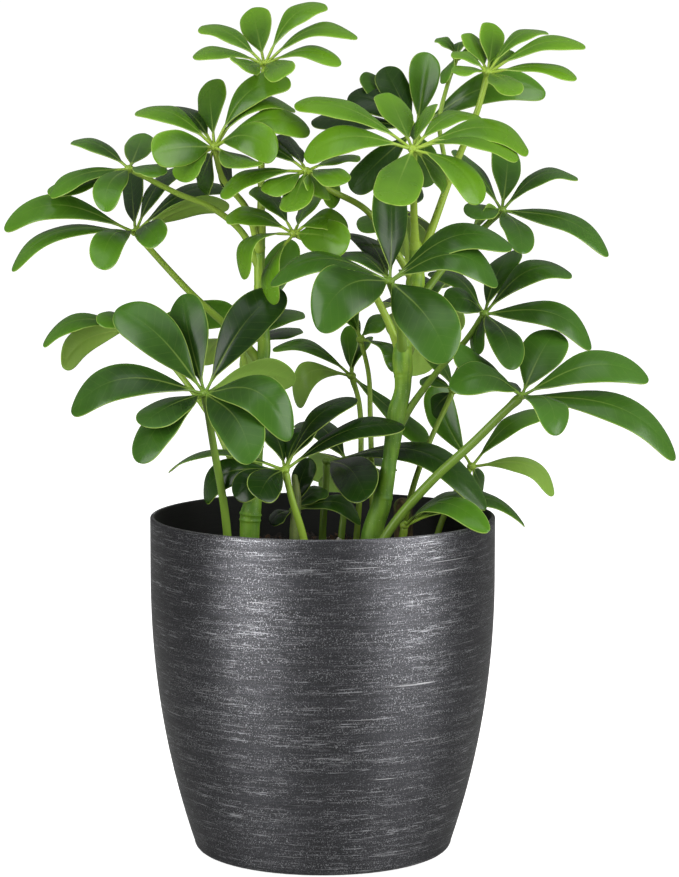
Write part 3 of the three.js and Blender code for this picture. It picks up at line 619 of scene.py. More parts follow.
def skin(grid, **traits):
    """A closed part from rings of points: quads join each ring to the next all round, and a fan of
    triangles closes each end about the middle of its ring. Its faces are turned to point outwards,
    which is where its signed volume is positive."""
    rings, size = grid.shape[:2]
    here = np.arange(size)
    after = (here + 1) % size
    quads = ring_quads(rings, size)
    first, last, top = rings * size, rings * size + 1, (rings - 1) * size
    near = np.stack([np.full(size, first), after, here], -1)
    far = np.stack([np.full(size, last), top + here, top + after], -1)
    fans = np.concatenate([near, far])
    points = np.concatenate([grid.reshape(-1, 3), grid[[0, -1]].mean(1)])
    corners = np.concatenate([quads[:, [0, 1, 2]], quads[:, [0, 2, 3]], fans])
    a, b, c = points[corners].transpose(1, 0, 2)
    if np.einsum("ij,ij->", a, np.cross(b, c)) < 0:
        quads, fans = quads[:, ::-1], fans[:, ::-1]
    worn = {}
    for name, value in traits.items():
        full = np.broadcast_to(value, (rings, size))
        worn[name] = np.concatenate([full.ravel(), full[[0, -1]].mean(1)])
    return points, quads, fans, worn


def make_piece(name, parts, material, node):
    """One mesh object from closed parts, in metres, standing for its CAD node"""
    counts = np.cumsum([0] + [len(part[0]) for part in parts])
    points = np.concatenate([part[0] for part in parts]) * MM
    quads = np.concatenate([part[1] + at for part, at in zip(parts, counts)])
    fans = np.concatenate([part[2] + at for part, at in zip(parts, counts)])
    mesh = bpy.data.meshes.new(name)
    mesh.from_pydata(points.tolist(), [], quads.tolist() + fans.tolist())
    traits = sorted({trait for part in parts for trait in part[3]})
    for trait in traits:
        values = [part[3].get(trait, np.zeros(len(part[0]))) for part in parts]
        data = mesh.attributes.new(trait, "FLOAT", "POINT").data
        data.foreach_set("value", np.concatenate(values).astype(np.float32))
    mesh.polygons.foreach_set("use_smooth", np.ones(len(mesh.polygons), bool))
    mesh.update()
    if mesh.validate():
        raise RuntimeError(f"{name}: its mesh had faces that had to be mended")
    piece = bpy.data.objects.new(name, mesh)
    bpy.context.scene.collection.objects.link(piece)
    mesh.materials.append(material)
    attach(piece, BODY)
    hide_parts(node)


def tube(points, radii, sides, steps, shape, **traits):
    """A rod: circles square to a smooth path, whose radius runs evenly from one point's to the next
    and is then multiplied by shape(centres, distance from the start). It ends in a round cap."""
    centres, t = smooth_path(points, steps)
    hops = np.linalg.norm(np.diff(centres, axis=0), axis=1)
    run = np.concatenate([[0], np.cumsum(hops)])
    radius = np.interp(t, np.arange(len(radii)), radii) * shape(centres, run)
    left = np.clip((run[-1] - run) / radius[-1], 0, 1)
    radius = radius * np.sqrt(np.clip(1 - (1 - left) ** 2, CAP_END, 1))
    along = unit(np.gradient(centres, axis=0))
    side = unit(np.cross([0.0, 1.0, 0.0], along))
    up = np.cross(along, side)
    angle = circle(sides)
    out = side[:, None] * np.cos(angle)[:, None] + up[:, None] * np.sin(angle)[:, None]
    return skin(centres[:, None] + out * radius[:, None, None], **traits)


def ball_grid(rings, sides, pole):
    """Rings of a ball of radius 1: circles of radius sin(a) at height cos(a), for the angles a from
    just past one pole to just short of the other"""
    a = np.linspace(pole, np.pi - pole, rings)[:, None]
    b = circle(sides)[None]
    return np.stack([np.sin(a) * np.cos(b), np.sin(a) * np.sin(b), np.cos(a) + 0 * b], -1)


def leaflet_way(leaf, row):
    """A leaflet's straight line from hub to tip and the directions about it: the face of its blade,
    turned just so far that the eye sees the width in the table, the side that the width runs along,
    and the way that it bows. Also its widths, its turn and lean, and the last values of its row."""
    x, z, lean, seen, arch, *own = row
    hub_x, hub_z, hub_y = leaf["hub"]
    flat = np.hypot(x - hub_x, z - hub_z)
    reach = leaf["reach"]
    depth = lean * np.sqrt(max(reach ** 2 - flat ** 2, (LEAST_LEAN * reach) ** 2))
    hub, tip = place(leaf["hub"]), place([x, z, hub_y + depth])
    line = tip - hub
    length = np.linalg.norm(line)
    along = line / length
    to_eye = unit(EYE - hub)
    facing = unit(to_eye - to_eye.dot(along) * along)
    across = np.cross(along, facing)
    if across.dot([np.sign(x - hub_x) * OUTWARD, 0, 1]) < 0:
        across = -across
    width = max(leaf["blade"], abs(seen) * SEEN_MARGIN)
    turn = seen / width
    face = facing * turn + across * np.sqrt(1 - turn ** 2)
    return SimpleNamespace(
        hub=hub, line=line, length=length, along=along, face=face, side=np.cross(face, along),
        bow=(across + facing * turn) * 4 * ARCH_RISE * arch, width=width, turn=turn, lean=lean, own=own,
    )


def half_widths(age, way, u, v):
    """A leaflet's stalk's radius at each ring, its greatest half width, and its half width at each
    ring. That rises as sin(pi/2 v/w)^p to the widest place w, falls as the superellipse
    (1 - t^n)^(1/2) to the tip, and is nowhere under the stalk's radius. The stalk swells at the hub
    by a bell curve and dies out along the blade."""
    widest, slender, bluntness = OUTLINE[age]
    widest = way.own[0] if way.own else widest
    bluntness = FINE_TIP + (bluntness - FINE_TIP) * way.turn ** 2
    slender = FULL_BASE + (slender - FULL_BASE) * smoothstep(*CLIMB, way.along[2])
    full = SPREAD * way.width / 2
    swollen = STALK_RADIUS * (1 + STALK_SWELL * bell(u / SWELL_REACH))
    stalk = swollen * np.sqrt(np.clip(1 - smoothstep(BLADE_START, 1.0, v), 0, 1))
    rise = np.sin(np.pi / 2 * np.clip(v / widest, 0, 1)) ** slender
    fall = np.sqrt(1 - np.clip((v - widest) / (1 - widest), 0, 1) ** bluntness)
    return stalk, full, np.maximum(full * rise * fall, stalk)[:, None]


def lens_ring():
    """The places across a leaflet, from -1 to 1 over its top and back under it, and which are on top"""
    half = np.array(CUTS)
    top = np.concatenate([[-1.0], -half[:0:-1], half, [1.0]])
    c = np.concatenate([top, top[-2:0:-1]])
    upper = np.arange(len(c)) < len(top)
    return c, upper


def ring_heights(settings, draw, v, c, upper, stalk, full, half):
    """How high each point of a leaflet's rings lies over its midrib. The blade is a lens of half
    thickness (1 - |c|^8)^(1/2), whose halves slope back as |c|^1.5, with a bell curve as the groove
    over the rib and the ridge under it, and a margin that waves as c^2 sin. On the stalk the ring is
    a circle, (1 - c^2)^(1/2)."""
    blade = smoothstep(0.0, BLADE_START, v)[:, None]
    near_rib = bell(c * half / (settings.rib_width / MM)) * smoothstep(0, GROOVE_START, v)[:, None]
    near_rib = near_rib * (1 - smoothstep(GROOVE_END, 1, v)[:, None])
    slack = np.abs(c) ** SLACK_POWER
    phase = draw.uniform(0, ROUND, 2)
    beat = draw.uniform(*WAVES, 2)
    margin = np.where(c > 0, 0, 1)
    edge = beat[margin] * v[:, None] * ROUND + phase[margin]
    wave = settings.margin_wave / MM * (half / full) * c ** 2 * np.sin(edge) * blade
    curl = draw.uniform(-CURL, CURL) * half * np.sign(c) * slack
    camber = -FOLD * half * slack + wave + curl * blade
    camber = camber - settings.groove / MM * near_rib * np.where(upper, 1, RIB_BELOW)
    thinned = 1 - MARGIN_THINNING * np.abs(c)
    thick = settings.blade_thickness / MM * thinned * np.minimum(1, half / THIN_BELOW)
    lens = thick / 2 * np.sqrt(np.clip(1 - np.abs(c) ** MARGIN_POWER, 0, 1))
    round_ring = stalk[:, None] * np.sqrt(np.clip(1 - c ** 2, 0, 1))
    height = (1 - blade) * round_ring + blade * lens
    return np.where(upper, height, -height) + camber * blade


def leaflet(leaf, row, settings, draw):
    """One leaflet, as rings carried along its midrib: u is a ring's share of the way from hub to tip, v
    its share of the blade, which is 0 on the stalk, and c a point's place across. The rings are
    even on the stalk and v is a sine on the blade. The midrib is hub + u line + w (1 - w) bow,
    with w = u^s."""
    way = leaflet_way(leaf, row)
    stalk_share = STALK_SHARE[leaf["age"]] * (DROOPING_STALK if way.own and way.along[2] < 0 else 1)
    stalk_u = np.linspace(0.0, stalk_share, STALK_RINGS + 1)[:-1]
    blade_v = np.sin(np.linspace(0, np.pi / 2, settings.stations))
    blade_v[-1] = LAST_RING
    u = np.concatenate([stalk_u, stalk_share + (1 - TIP_TRIM / way.length - stalk_share) * blade_v])
    v = np.concatenate([np.zeros(STALK_RINGS), blade_v])
    w = u ** ARCH_SHIFT
    slope = way.bow.dot(way.face) * (1 - 2 * w) / way.length
    normal = unit(way.face - way.along * slope[:, None])
    middle = way.hub + way.line * u[:, None] + way.bow * (w * (1 - w))[:, None]

    c, upper = lens_ring()
    stalk, full, half = half_widths(leaf["age"], way, u, v)
    height = ring_heights(settings, draw, v, c, upper, stalk, full, half)
    grid = middle[:, None] + way.side * (half * c)[..., None] + normal[:, None] * height[..., None]

    blade_length = way.length * (1 - stalk_share)
    # Painted shade: the leaf's shade value, a place on the far side of the hub and a place in DARK raise the
    # leaflet's tone, which the material paints darker, over its chance tone
    order = leaf["leaflets"].index(row)
    pale = order in PALE.get(leaf["name"], ())
    dark = order in DARK.get(leaf["name"], ())
    shade = SHADES.get(leaf["name"], 0.0) + max(way.lean, 0) * FAR_SHADE + dark * DEEP_SHADE
    return skin(
        grid,
        share=v[:, None],
        run=(v * blade_length)[:, None],
        across=c * half,
        margin=(1 - np.abs(c)) * half,
        under=np.where(upper, PALENESS * pale, 1.0),
        tone=draw.uniform(*LEAFLET_TONES) + shade,
        stalk=1 - smoothstep(0.0, STALK_FADE, v)[:, None],
    )


def leaf_parts(leaf, settings, draw):
    """A leaf: a petiole with a sheath at its root and a swelling under the hub, both bell curves, the
    hub, and the leaflets"""
    points = np.array([place(point) for point in [*leaf["petiole"], leaf["hub"]]])
    thick, thin = leaf["thick"]
    radii = np.linspace(thick, thin, len(points))
    flare = 0.0 if leaf["on"] == "soil" else settings.sheath

    def shape(centres, run):
        knee = bell((run[-1] - run - KNEE_LENGTH) / KNEE_LENGTH)
        return 1 + flare * bell(run / SHEATH_LENGTH) + KNEE_SWELL * knee

    age = draw.uniform(*LEAF_TONES)
    hub = points[-1] + HUB_RADIUS * (ball_grid(HUB_RINGS, HUB_SIDES, HUB_POLE) * [1, 1, HUB_SQUASH])
    return [
        tube(points, radii, PETIOLE_SIDES, PETIOLE_RINGS, shape, stalk=1.0, tone=age),
        skin(hub, stalk=1.0, tone=age),
        *(leaflet(leaf, row, settings, draw) for row in leaf["leaflets"]),
    ]


def stem_parts(stem, settings):
    """A stem: a rod that swells at its sheaths, with a bell curve as the thin ridge at each ring, and
    that two sines make a little uneven"""
    points = np.array([place(point) for point in stem["path"]])
    radii = np.array([point[3] for point in stem["path"]], float)

    def shape(centres, run):
        z = centres[:, 2]
        size = np.ones(len(z))
        for at in stem["rings"]:
            size += settings.ring_height * bell((z - at) / RING_HALF_HEIGHT)
        for low, high in stem["sheaths"]:
            closing = 1 - smoothstep(high - SHEATH_TOP, high, z)
            size += settings.sheath_swell * smoothstep(low, low + SHEATH_FOOT, z) * closing
        uneven = 1
        for share, pitch, phase in STEM_WAVES:
            uneven = uneven + share * np.sin(z / pitch + phase)
        return size * uneven

    return [tube(points, radii, STEM_SIDES, STEM_RINGS, shape)]


def pot_radius(z, rim):
    """The planter's outer radius: it leans in below the belly by (1 - z / belly height)^power"""
    below = np.maximum(0, 1 - z / POT_BELLY_HEIGHT)
    return rim - (rim - POT_BASE_RADIUS) * below ** POT_BELLY_POWER


def turned(profile, sides):
    """Rings made by turning [radius, z] pairs about the z axis"""
    angle = circle(sides)
    r, z = profile[:, :1], profile[:, 1:]
    return np.stack([r * np.cos(angle), r * np.sin(angle), z + 0 * angle], -1)


def arc(centre, radius, start, end, steps):
    """Points [r, z] on a circle about centre from one angle to the other, in degrees"""
    angle = np.radians(np.linspace(start, end, steps))
    return np.stack([centre[0] + radius * np.cos(angle), centre[1] + radius * np.sin(angle)], -1)


def grain_parts(count, size, reach, top, draw):
    """Loose grains: each is a small closed ball stretched along its own axes, roughened point by point
    and turned at random, half sunk in the soil's top"""
    radius = reach * np.sqrt(draw.uniform(0, 1, count))
    angle = draw.uniform(0, ROUND, count)
    x, y = radius * np.cos(angle), radius * np.sin(angle)
    kinds = np.searchsorted(GRAIN_SHARES, draw.uniform(0, 1, count), side="right")
    grain = np.array([PEAT, BARK, WHITE_GRAIN])[kinds]
    stretch = draw.uniform(*GRAIN_SIZES, (count, 3)) * size
    stretch[:, 0] *= np.where(grain == BARK, BARK_STRETCH, 1.0)
    rough = draw.uniform(*GRAIN_ROUGHNESS, (count, GRAIN_RINGS, GRAIN_SIDES, 1))
    frames = np.linalg.qr(draw.normal(size=(count, 3, 3)))[0]
    local = ball_grid(GRAIN_RINGS, GRAIN_SIDES, GRAIN_POLE) * rough * stretch[:, None, None]
    grids = np.einsum("gij,grsj->grsi", frames, local)
    grids += np.stack([x, y, top(x, y) + stretch.min(1) * GRAIN_LIFT], -1)[:, None, None]
    return [skin(grid, grain=value) for grid, value in zip(grids, grain)]


def feed(tree, node, values):
    """Gives a node's sockets, in order or by name or number, a value or the socket that feeds them"""
    pairs = values.items() if isinstance(values, dict) else enumerate(values)
    for key, value in pairs:
        if isinstance(value, bpy.types.NodeSocket):
            tree.links.new(value, node.inputs[key])
        else:
            node.inputs[key].default_value = value


def add(tree, kind, values=(), out=0, **settings):
    """Adds one shader node with its settings, feeds its sockets, and returns its output socket. A
    MapRange takes a value, from where to where it reads, and what it gives at the two ends."""
    node = tree.nodes.new("ShaderNode" + kind)
    for key, value in settings.items():
        setattr(node, key, value)
    feed(tree, node, values)
    return node.outputs[out]


def paint(tree, colour, layers):
    """A ground colour with other colours laid over it in turn, each where its share is 1"""
    for share, over in layers:
        values = {MIX_SHARE: share, MIX_FIRST: colour, MIX_SECOND: over}
        colour = add(tree, "Mix", values, MIX_COLOUR, data_type="RGBA")
    return colour


def rgba(colour):
    """A hex colour, or three linear values, as a colour socket takes them"""
    return (*(linear(colour) if isinstance(colour, str) else colour), 1.0)


def per_metre(millimetres):
    """A pattern's scale from the size of one patch: how many of them go into a metre"""
    return 1 / (millimetres * MM)


def new_material(name):
    """An empty node material, its tree and its surface shader"""
    material = bpy.data.materials.new(name)
    material.use_nodes = True
    tree = material.node_tree
    return material, tree, tree.nodes["Principled BSDF"]


def leaf_material(settings, name, blade, deep, tip, under, stalk, gloss):
    """The waxy skin of a living leaf: even green with a soft broad sheen, a lighter midrib, faint side
    veins, a thin pale line round the margin, and a duller, paler underside. The light tip and edge
    are partly the leaf's own colour and partly painted light, the underside's paleness is partly
    painted light shining through the blade, and painted shade darkens leaflets deep in the plant
    down to near black"""
    material, tree, surface = new_material(name)
    traits = ("share", "run", "across", "margin", "under", "tone", "stalk")
    worn = {key: add(tree, "Attribute", out="Fac", attribute_name=key) for key in traits}
    spot = add(tree, "TexCoord", out="Object")
    # Patches of deeper green are 12.5 mm across, and the grain of the skin 0.7 mm
    patches = add(tree, "TexNoise", {"Vector": spot, "Scale": per_metre(12.5), "Detail": 3.0})
    grain = add(tree, "TexNoise", {"Vector": spot, "Scale": per_metre(0.7143), "Detail": 2.0})
    # Each leaflet's tone value holds both its chance tone and the painted shade of its leaf and place; with
    # the patches it sets how far the blade is painted towards the deep green
    tone = add(tree, "Math", (worn["tone"], 0.4, 0.48), **TIMES_PLUS)
    mottle = add(tree, "Math", (patches, 0.9, -0.45), **TIMES_PLUS)
    depth = add(tree, "Math", (tone, mottle), **PLUS)

    # Painted shade: a leaflet painted as deep in shade loses most of the light tip and edge, and is
    # painted near black
    lit = add(tree, "MapRange", (worn["tone"], 0.3, 1.5, 1.0, 0.2), **SOFT)
    shaded = add(tree, "MapRange", (worn["tone"], 0.6, 1.8, 0.0, 0.75), **SOFT)
    # The light tip and edge are partly the leaf's own lighter green and partly painted light
    towards_tip = add(tree, "MapRange", (worn["share"], 0.35, 1.0, 0.0, 0.5), **SOFT)
    tip_green_and_light = add(tree, "Math", (towards_tip, lit), **TIMES)
    near_margin = add(tree, "MapRange", (worn["margin"], 0.5, 3.0, 0.35, 0.0), **SOFT)
    past_base = add(tree, "MapRange", (worn["share"], 0.1, 0.5), **SOFT)
    edge = add(tree, "Math", (near_margin, past_base), **TIMES)
    lit_edge = add(tree, "Math", (edge, lit), **TIMES)

    # The side veins are the crests of a sine of the way run along the blade less that out from the
    # midrib, which the patches make a little wavy
    step = ROUND / VEIN_SPACING
    out = add(tree, "Math", (worn["across"],), operation="ABSOLUTE")
    wobble = add(tree, "Math", (patches, 5.0), **TIMES)
    forward = add(tree, "Math", (out, -VEIN_SLANT * step, wobble), **TIMES_PLUS)
    beat = add(tree, "Math", (worn["run"], step, forward), **TIMES_PLUS)
    wave = add(tree, "Math", (beat,), operation="SINE")
    crest = add(tree, "MapRange", (wave, 0.93, 1.0), **SOFT)
    inside = add(tree, "MapRange", (worn["margin"], 0.4, 1.6), **SOFT)
    vein = add(tree, "Math", (crest, inside), **TIMES)
    # The midrib narrows and fades towards the tip
    rib_width = add(tree, "MapRange", (worn["share"], 0.0, 1.0, 0.36, 0.08), **SOFT)
    off_rib = add(tree, "Math", (out, rib_width), operation="SUBTRACT")
    on_rib = add(tree, "MapRange", (off_rib, -0.2, 0.22, 1.0, 0.0), **SOFT)
    fading = add(tree, "MapRange", (worn["share"], 0.0, 0.85, 1.0, 0.15), **SOFT)
    rib = add(tree, "Math", (on_rib, fading), **TIMES)
    rim = add(tree, "MapRange", (worn["margin"], 0.2, 0.5, 1.0, 0.0), **SOFT)

    def drawn(*lines):
        """Lines in the veins' light colour as layers, each at its strength"""
        return [(add(tree, "Math", line, **TIMES), rgba(settings.vein_colour)) for line in lines]

    # The pale underside green is partly the leaf's own colour and partly painted light shining through the
    # blade
    underside = paint(tree, rgba(under), drawn((vein, 0.15), (rib, 0.4)))
    greener = add(tree, "Math", (patches, 0.4), **TIMES)
    rind = paint(tree, rgba(stalk), [(greener, rgba(blade))])
    # Over the blade green: deeper patches with painted shade, the light tip and edge, partly painted light,
    # near black painted shade, then the veins, margin, underside and stalk
    colour = paint(tree, rgba(blade), [
        (depth, rgba(deep)),
        (tip_green_and_light, rgba(tip)),
        (lit_edge, rgba(tip)),
        (shaded, rgba(DEEP_SHADE_COLOUR)),
        *drawn((vein, 0.025), (rim, 0.6), (rib, 0.24)),
        (worn["under"], underside),
        (worn["stalk"], rind),
    ])
    dull = add(tree, "Math", (worn["under"], 0.2, gloss), **TIMES_PLUS)
    fine = add(tree, "Math", (grain, 0.35), **TIMES)
    relief = add(tree, "Math", (vein, -0.2, fine), **TIMES_PLUS)
    feed(tree, surface, {
        "Base Color": colour,
        "Roughness": add(tree, "Math", (patches, 0.1, dull), **TIMES_PLUS),
        "Normal": add(tree, "Bump", {"Strength": 0.15, "Distance": 0.2 * MM, "Height": relief}),
        "IOR": 1.32,
        "Subsurface Weight": 0.05,
        "Subsurface Radius": (0.4, 1.0, 0.15),
        "Subsurface Scale": 2 * MM,
    })
    return material


def stem_material(name, light, dark, top, gloss):
    """The smooth rind of a green stem: long streaks of lighter and deeper green, pale specks, and a
    yellower tone towards the top"""
    material, tree, surface = new_material(name)
    spot = add(tree, "TexCoord", out="Object")
    # The streaks are 1.7 mm wide and ten times as long, the patches 9 mm across, the specks 0.7 mm
    drawn_out = add(tree, "Mapping", {"Vector": spot, "Scale": (1.0, 1.0, 0.1)})
    streaks = add(tree, "TexNoise", {"Vector": drawn_out, "Scale": per_metre(1.667), "Detail": 3.0})
    patches = add(tree, "TexNoise", {"Vector": spot, "Scale": per_metre(9.09), "Detail": 2.0})
    specks = add(tree, "TexNoise", {"Vector": spot, "Scale": per_metre(0.6667), "Detail": 1.0})
    half = add(tree, "Math", (patches, 0.5), **TIMES)
    both = add(tree, "Math", (streaks, 0.5, half), **TIMES_PLUS)
    height = add(tree, "SeparateXYZ", (spot,), "Z")
    colour = paint(tree, rgba(light), [
        (add(tree, "MapRange", (height, 190 * MM, 270 * MM), **SOFT), rgba(top)),
        (add(tree, "MapRange", (both, 0.35, 0.65), **SOFT), rgba(dark)),
        (add(tree, "MapRange", (specks, 0.68, 0.74, 0.0, 0.3), **SOFT), rgba("#c9cf9a")),
    ])
    feed(tree, surface, {
        "Base Color": colour,
        "Roughness": add(tree, "Math", (streaks, 0.2, gloss), **TIMES_PLUS),
        "Normal": add(tree, "Bump", {"Strength": 0.2, "Distance": 0.3 * MM, "Height": streaks}),
        "Subsurface Weight": 0.08,
        "Subsurface Scale": 2 * MM,
    })
    return material


def cane_material(settings):
    """Old woody cane: brown bark with mossy patches, cracked along its length, quite matt"""
    material, tree, surface = new_material("mossy_cane_bark")
    spot = add(tree, "TexCoord", out="Object")
    # Bark cracks are 1.1 mm apart and drawn out along the cane, and the patches of moss 5 mm across
    drawn_out = add(tree, "Mapping", {"Vector": spot, "Scale": (1.0, 1.0, 0.22)})
    cracks = add(tree, "TexNoise", {"Vector": drawn_out, "Scale": per_metre(1.111), "Detail": 4.0})
    moss = add(tree, "TexNoise", {"Vector": spot, "Scale": per_metre(5), "Detail": 3.0})
    colour = paint(tree, rgba("#3b2e1c"), [
        (add(tree, "MapRange", (cracks, 0.35, 0.7), **SOFT), rgba(settings.cane_colour)),
        (add(tree, "MapRange", (moss, 0.5, 0.62, 0.0, 0.8), **SOFT), rgba("#5a6a2c")),
    ])
    feed(tree, surface, {
        "Base Color": colour,
        "Roughness": 0.85,
        "Normal": add(tree, "Bump", {"Strength": 0.8, "Distance": 0.8 * MM, "Height": cracks}),
    })
    return material


def pot_material(settings):
    """Dark graphite paint on spun metal, dry-brushed round the pot with silver: fine level streaks,
    glittering specks, a soft sheen, a bare silver edge at the rim and black inside"""
    material, tree, surface = new_material("brushed_graphite_metal")
    spot = add(tree, "TexCoord", out="Object")
    inside = add(tree, "Attribute", out="Fac", attribute_name="inside")
    rim = add(tree, "Attribute", out="Fac", attribute_name="rim")

    def brushed(length, height, tilt=(0.0, 0.0, 0.0), **look):
        """Noise in level strokes of this length and height in millimetres"""
        scale = (per_metre(length), per_metre(length), per_metre(height))
        way = add(tree, "Mapping", {"Vector": spot, "Rotation": tilt, "Scale": scale})
        return add(tree, "TexNoise", {"Vector": way, "Scale": 1.0, **look})

    # Brush strokes are 0.45 mm high and 12 mm long, in bands 3 mm high, with a few long scratches;
    # clouds of them are 45 mm across, and the silver specks 0.5 mm
    fine = brushed(11.765, 0.45455, Detail=5.0, Roughness=0.7)
    broad = brushed(45.455, 2.9412, Detail=3.0, Roughness=0.6)
    scratch = brushed(50, 0.76923, tilt=(0.02, 0.03, 0.0), Detail=2.0)
    cloud = add(tree, "TexNoise", {"Vector": spot, "Scale": per_metre(45.455), "Detail": 3.0})
    glitter = add(tree, "TexNoise", {"Vector": spot, "Scale": per_metre(0.52632), "Detail": 1.0})
    quarter = add(tree, "Math", (broad, 0.25), **TIMES)
    both = add(tree, "Math", (fine, 0.75, quarter), **TIMES_PLUS)
    crests = add(tree, "MapRange", (both, 0.55, 0.66), **SOFT)
    clouded = add(tree, "MapRange", (cloud, 0.35, 0.65, 0.35, 1.0), **SOFT)
    strokes = add(tree, "Math", (crests, clouded), **TIMES)
    sparks = add(tree, "MapRange", (glitter, 0.56, 0.68), **SOFT)
    banded = add(tree, "MapRange", (broad, 0.35, 0.6, 0.3, 1.0), **SOFT)
    specks = add(tree, "Math", (sparks, banded), **TIMES)
    half_specks = add(tree, "Math", (specks, 0.5), **TIMES)
    rubbed = add(tree, "MapRange", (glitter, 0.4, 0.65, 0.1, 0.8), **SOFT)
    bare_rim = add(tree, "Math", (rim, rubbed), **TIMES)
    silver = rgba(settings.streak_colour)
    colour = paint(tree, rgba("#404042"), [
        (add(tree, "MapRange", (fine, 0.3, 0.65), **SOFT), rgba(settings.metal_colour)),
        (half_specks, silver),
        (strokes, silver),
        (add(tree, "MapRange", (scratch, 0.7, 0.75, 0.0, 0.8), **SOFT), rgba("#d4d4d6")),
        (bare_rim, rgba("#8f8f8f")),
        (inside, rgba("#141413")),
    ])
    gloss = add(tree, "MapRange", (both, 0.3, 0.7, 0.46, 0.38), **SOFT)
    dull = add(tree, "Math", (inside, rim), **PLUS)
    height = add(tree, "Math", (glitter, 0.4, both), **TIMES_PLUS)
    # Level brush marks throw the light up and down, into bands as tall as the pot. The shader's own
    # tangent runs round the pot, so a quarter turn sets the long way of the gloss upright.
    feed(tree, surface, {
        "Base Color": colour,
        "Metallic": add(tree, "Math", (inside, -0.9, 1.0), **TIMES_PLUS),
        "Roughness": add(tree, "Math", (dull, 0.3, gloss), **TIMES_PLUS),
        "Anisotropic": 0.6,
        "Anisotropic Rotation": 0.25,
        "Normal": add(tree, "Bump", {"Strength": 0.35, "Distance": 0.3 * MM, "Height": height}),
    })
    return material


def soil_material(settings):
    """Damp potting mix: dark peat crumbs with brown bark and the odd white grain, fully matt"""
    material, tree, surface = new_material("peat_and_bark_mix")
    spot = add(tree, "TexCoord", out="Object")
    grain = add(tree, "Attribute", out="Fac", attribute_name="grain")
    # Peat crumbs are 1.5 mm across
    crumbs = {"Vector": spot, "Scale": per_metre(1.5385), "Detail": 5.0, "Roughness": 0.7}
    crumbs = add(tree, "TexNoise", crumbs)
    dark_to_light = add(tree, "MapRange", (crumbs, 0.35, 0.65), **SOFT)
    peat = paint(tree, rgba("#110d0a"), [(dark_to_light, rgba(settings.soil_colour))])
    bark = paint(tree, rgba("#2a1c11"), [(crumbs, rgba(settings.bark_colour))])
    feed(tree, surface, {
        "Base Color": paint(tree, peat, [
            (add(tree, "MapRange", (grain, 0.3, 0.5), **SOFT), bark),
            (add(tree, "MapRange", (grain, 0.9, 0.95), **SOFT), rgba("#cfcabd")),
        ]),
        "Roughness": 0.95,
        "Normal": add(tree, "Bump", {"Strength": 0.8, "Distance": 1.2 * MM, "Height": crumbs}),
    })
    return material


def floor_material(settings):
    """Matt pale floor: faint clouds of off-white. The eye sees it near white with a glow of its own, and
    the light that it throws back is greyer."""
    material, tree, surface = new_material("matt_pale_floor")
    spot = add(tree, "TexCoord", out="Object")
    # The clouds are 250 mm across
    cloud = add(tree, "TexNoise", {"Vector": spot, "Scale": per_metre(250), "Detail": 2.0})
    pale = paint(tree, rgba(settings.floor_colour), [(cloud, rgba("#efefed"))])
    seen = add(tree, "LightPath", out="Is Camera Ray")
    feed(tree, surface, {
        "Base Color": paint(tree, rgba(settings.bounce_colour), [(seen, pale)]),
        "Roughness": 0.9,
        "Emission Color": rgba("#ffffff"),
        "Emission Strength": add(tree, "Math", (seen, settings.floor_glow), **TIMES),
    })
    return material


def length_setting(name, description, millimetres):
    """A length that the panel shows, with its default in metres"""
    return FloatProperty(
        name=name, description=description, default=millimetres * MM, min=0.0, precision=4,
        unit="LENGTH", subtype="DISTANCE",
    )


def colour_setting(name, description, hex_colour):
    """A colour that the panel shows"""
    return FloatVectorProperty(
        name=name, description=description, default=linear(hex_colour), size=3, min=0.0, max=1.0,
        subtype="COLOR",
    )


def share_setting(name, description, share, most):
    """A share that the panel shows"""
    return FloatProperty(
        name=name, description=description, default=share, min=0.0, max=most, subtype="FACTOR",
    )


def light_setting(name, description, strength, unit="NONE"):
    """A strength or power of light that the panel shows"""
    return FloatProperty(name=name, description=description, default=strength, min=0.0, unit=unit)


POT_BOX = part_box("pot")


class PotSettings(bpy.types.PropertyGroup):
    """Sizes and colours of the planter"""

    rim_radius: length_setting("Rim radius", "Outer radius at the rim", POT_BOX[1].x / MM)
    height: length_setting("Height", "Height of the rim above the foot", POT_BOX[1].z / MM)
    wall: length_setting("Wall", "Thickness of the wall", 2.2)
    rim_round: length_setting("Rim rounding", "Radius of the rim's two edges", 1.0)
    metal_colour: colour_setting("Metal", "The graphite ground", "#545458")
    streak_colour: colour_setting("Streaks", "The silver dragged over it", "#d2d3d7")


class SoilSettings(bpy.types.PropertyGroup):
    """Sizes and colours of the potting mix"""

    height: length_setting("Height", "Height of the soil at the pot's wall", 135)
    mound: length_setting("Mound", "How much higher its middle is", 3)
    lump: length_setting("Lumps", "Height of its broad lumps", 1.1)
    grain_size: length_setting("Grain size", "Middle size of a loose grain", 2.2)
    grains: IntProperty(name="Grains", description="How many loose grains lie on it", default=1300, min=0)
    soil_colour: colour_setting("Peat", "The dark crumbs", "#231c16")
    bark_colour: colour_setting("Bark", "The brown chips", "#4c3722")


class StemSettings(bpy.types.PropertyGroup):
    """Swellings and colours of the stems"""

    ring_height: share_setting("Ring height", "Ridge at a node, as a share of the radius", 0.09, 0.5)
    sheath_swell: share_setting("Sheath swelling", "How much a sheath widens the stem", 0.16, 0.5)
    stem_colour: colour_setting("Stem", "The light green of a stem", "#739c26")
    stem_dark: colour_setting("Stem streaks", "The deeper green in it", "#4f7c16")
    stem_top: colour_setting("Stem top", "The yellow green of its young end", "#8dac26")
    shoot_colour: colour_setting("Shoot", "The olive green of the short shoot", "#6f7f3a")
    cane_colour: colour_setting("Cane", "The brown of the cut cane", "#6b5a3a")


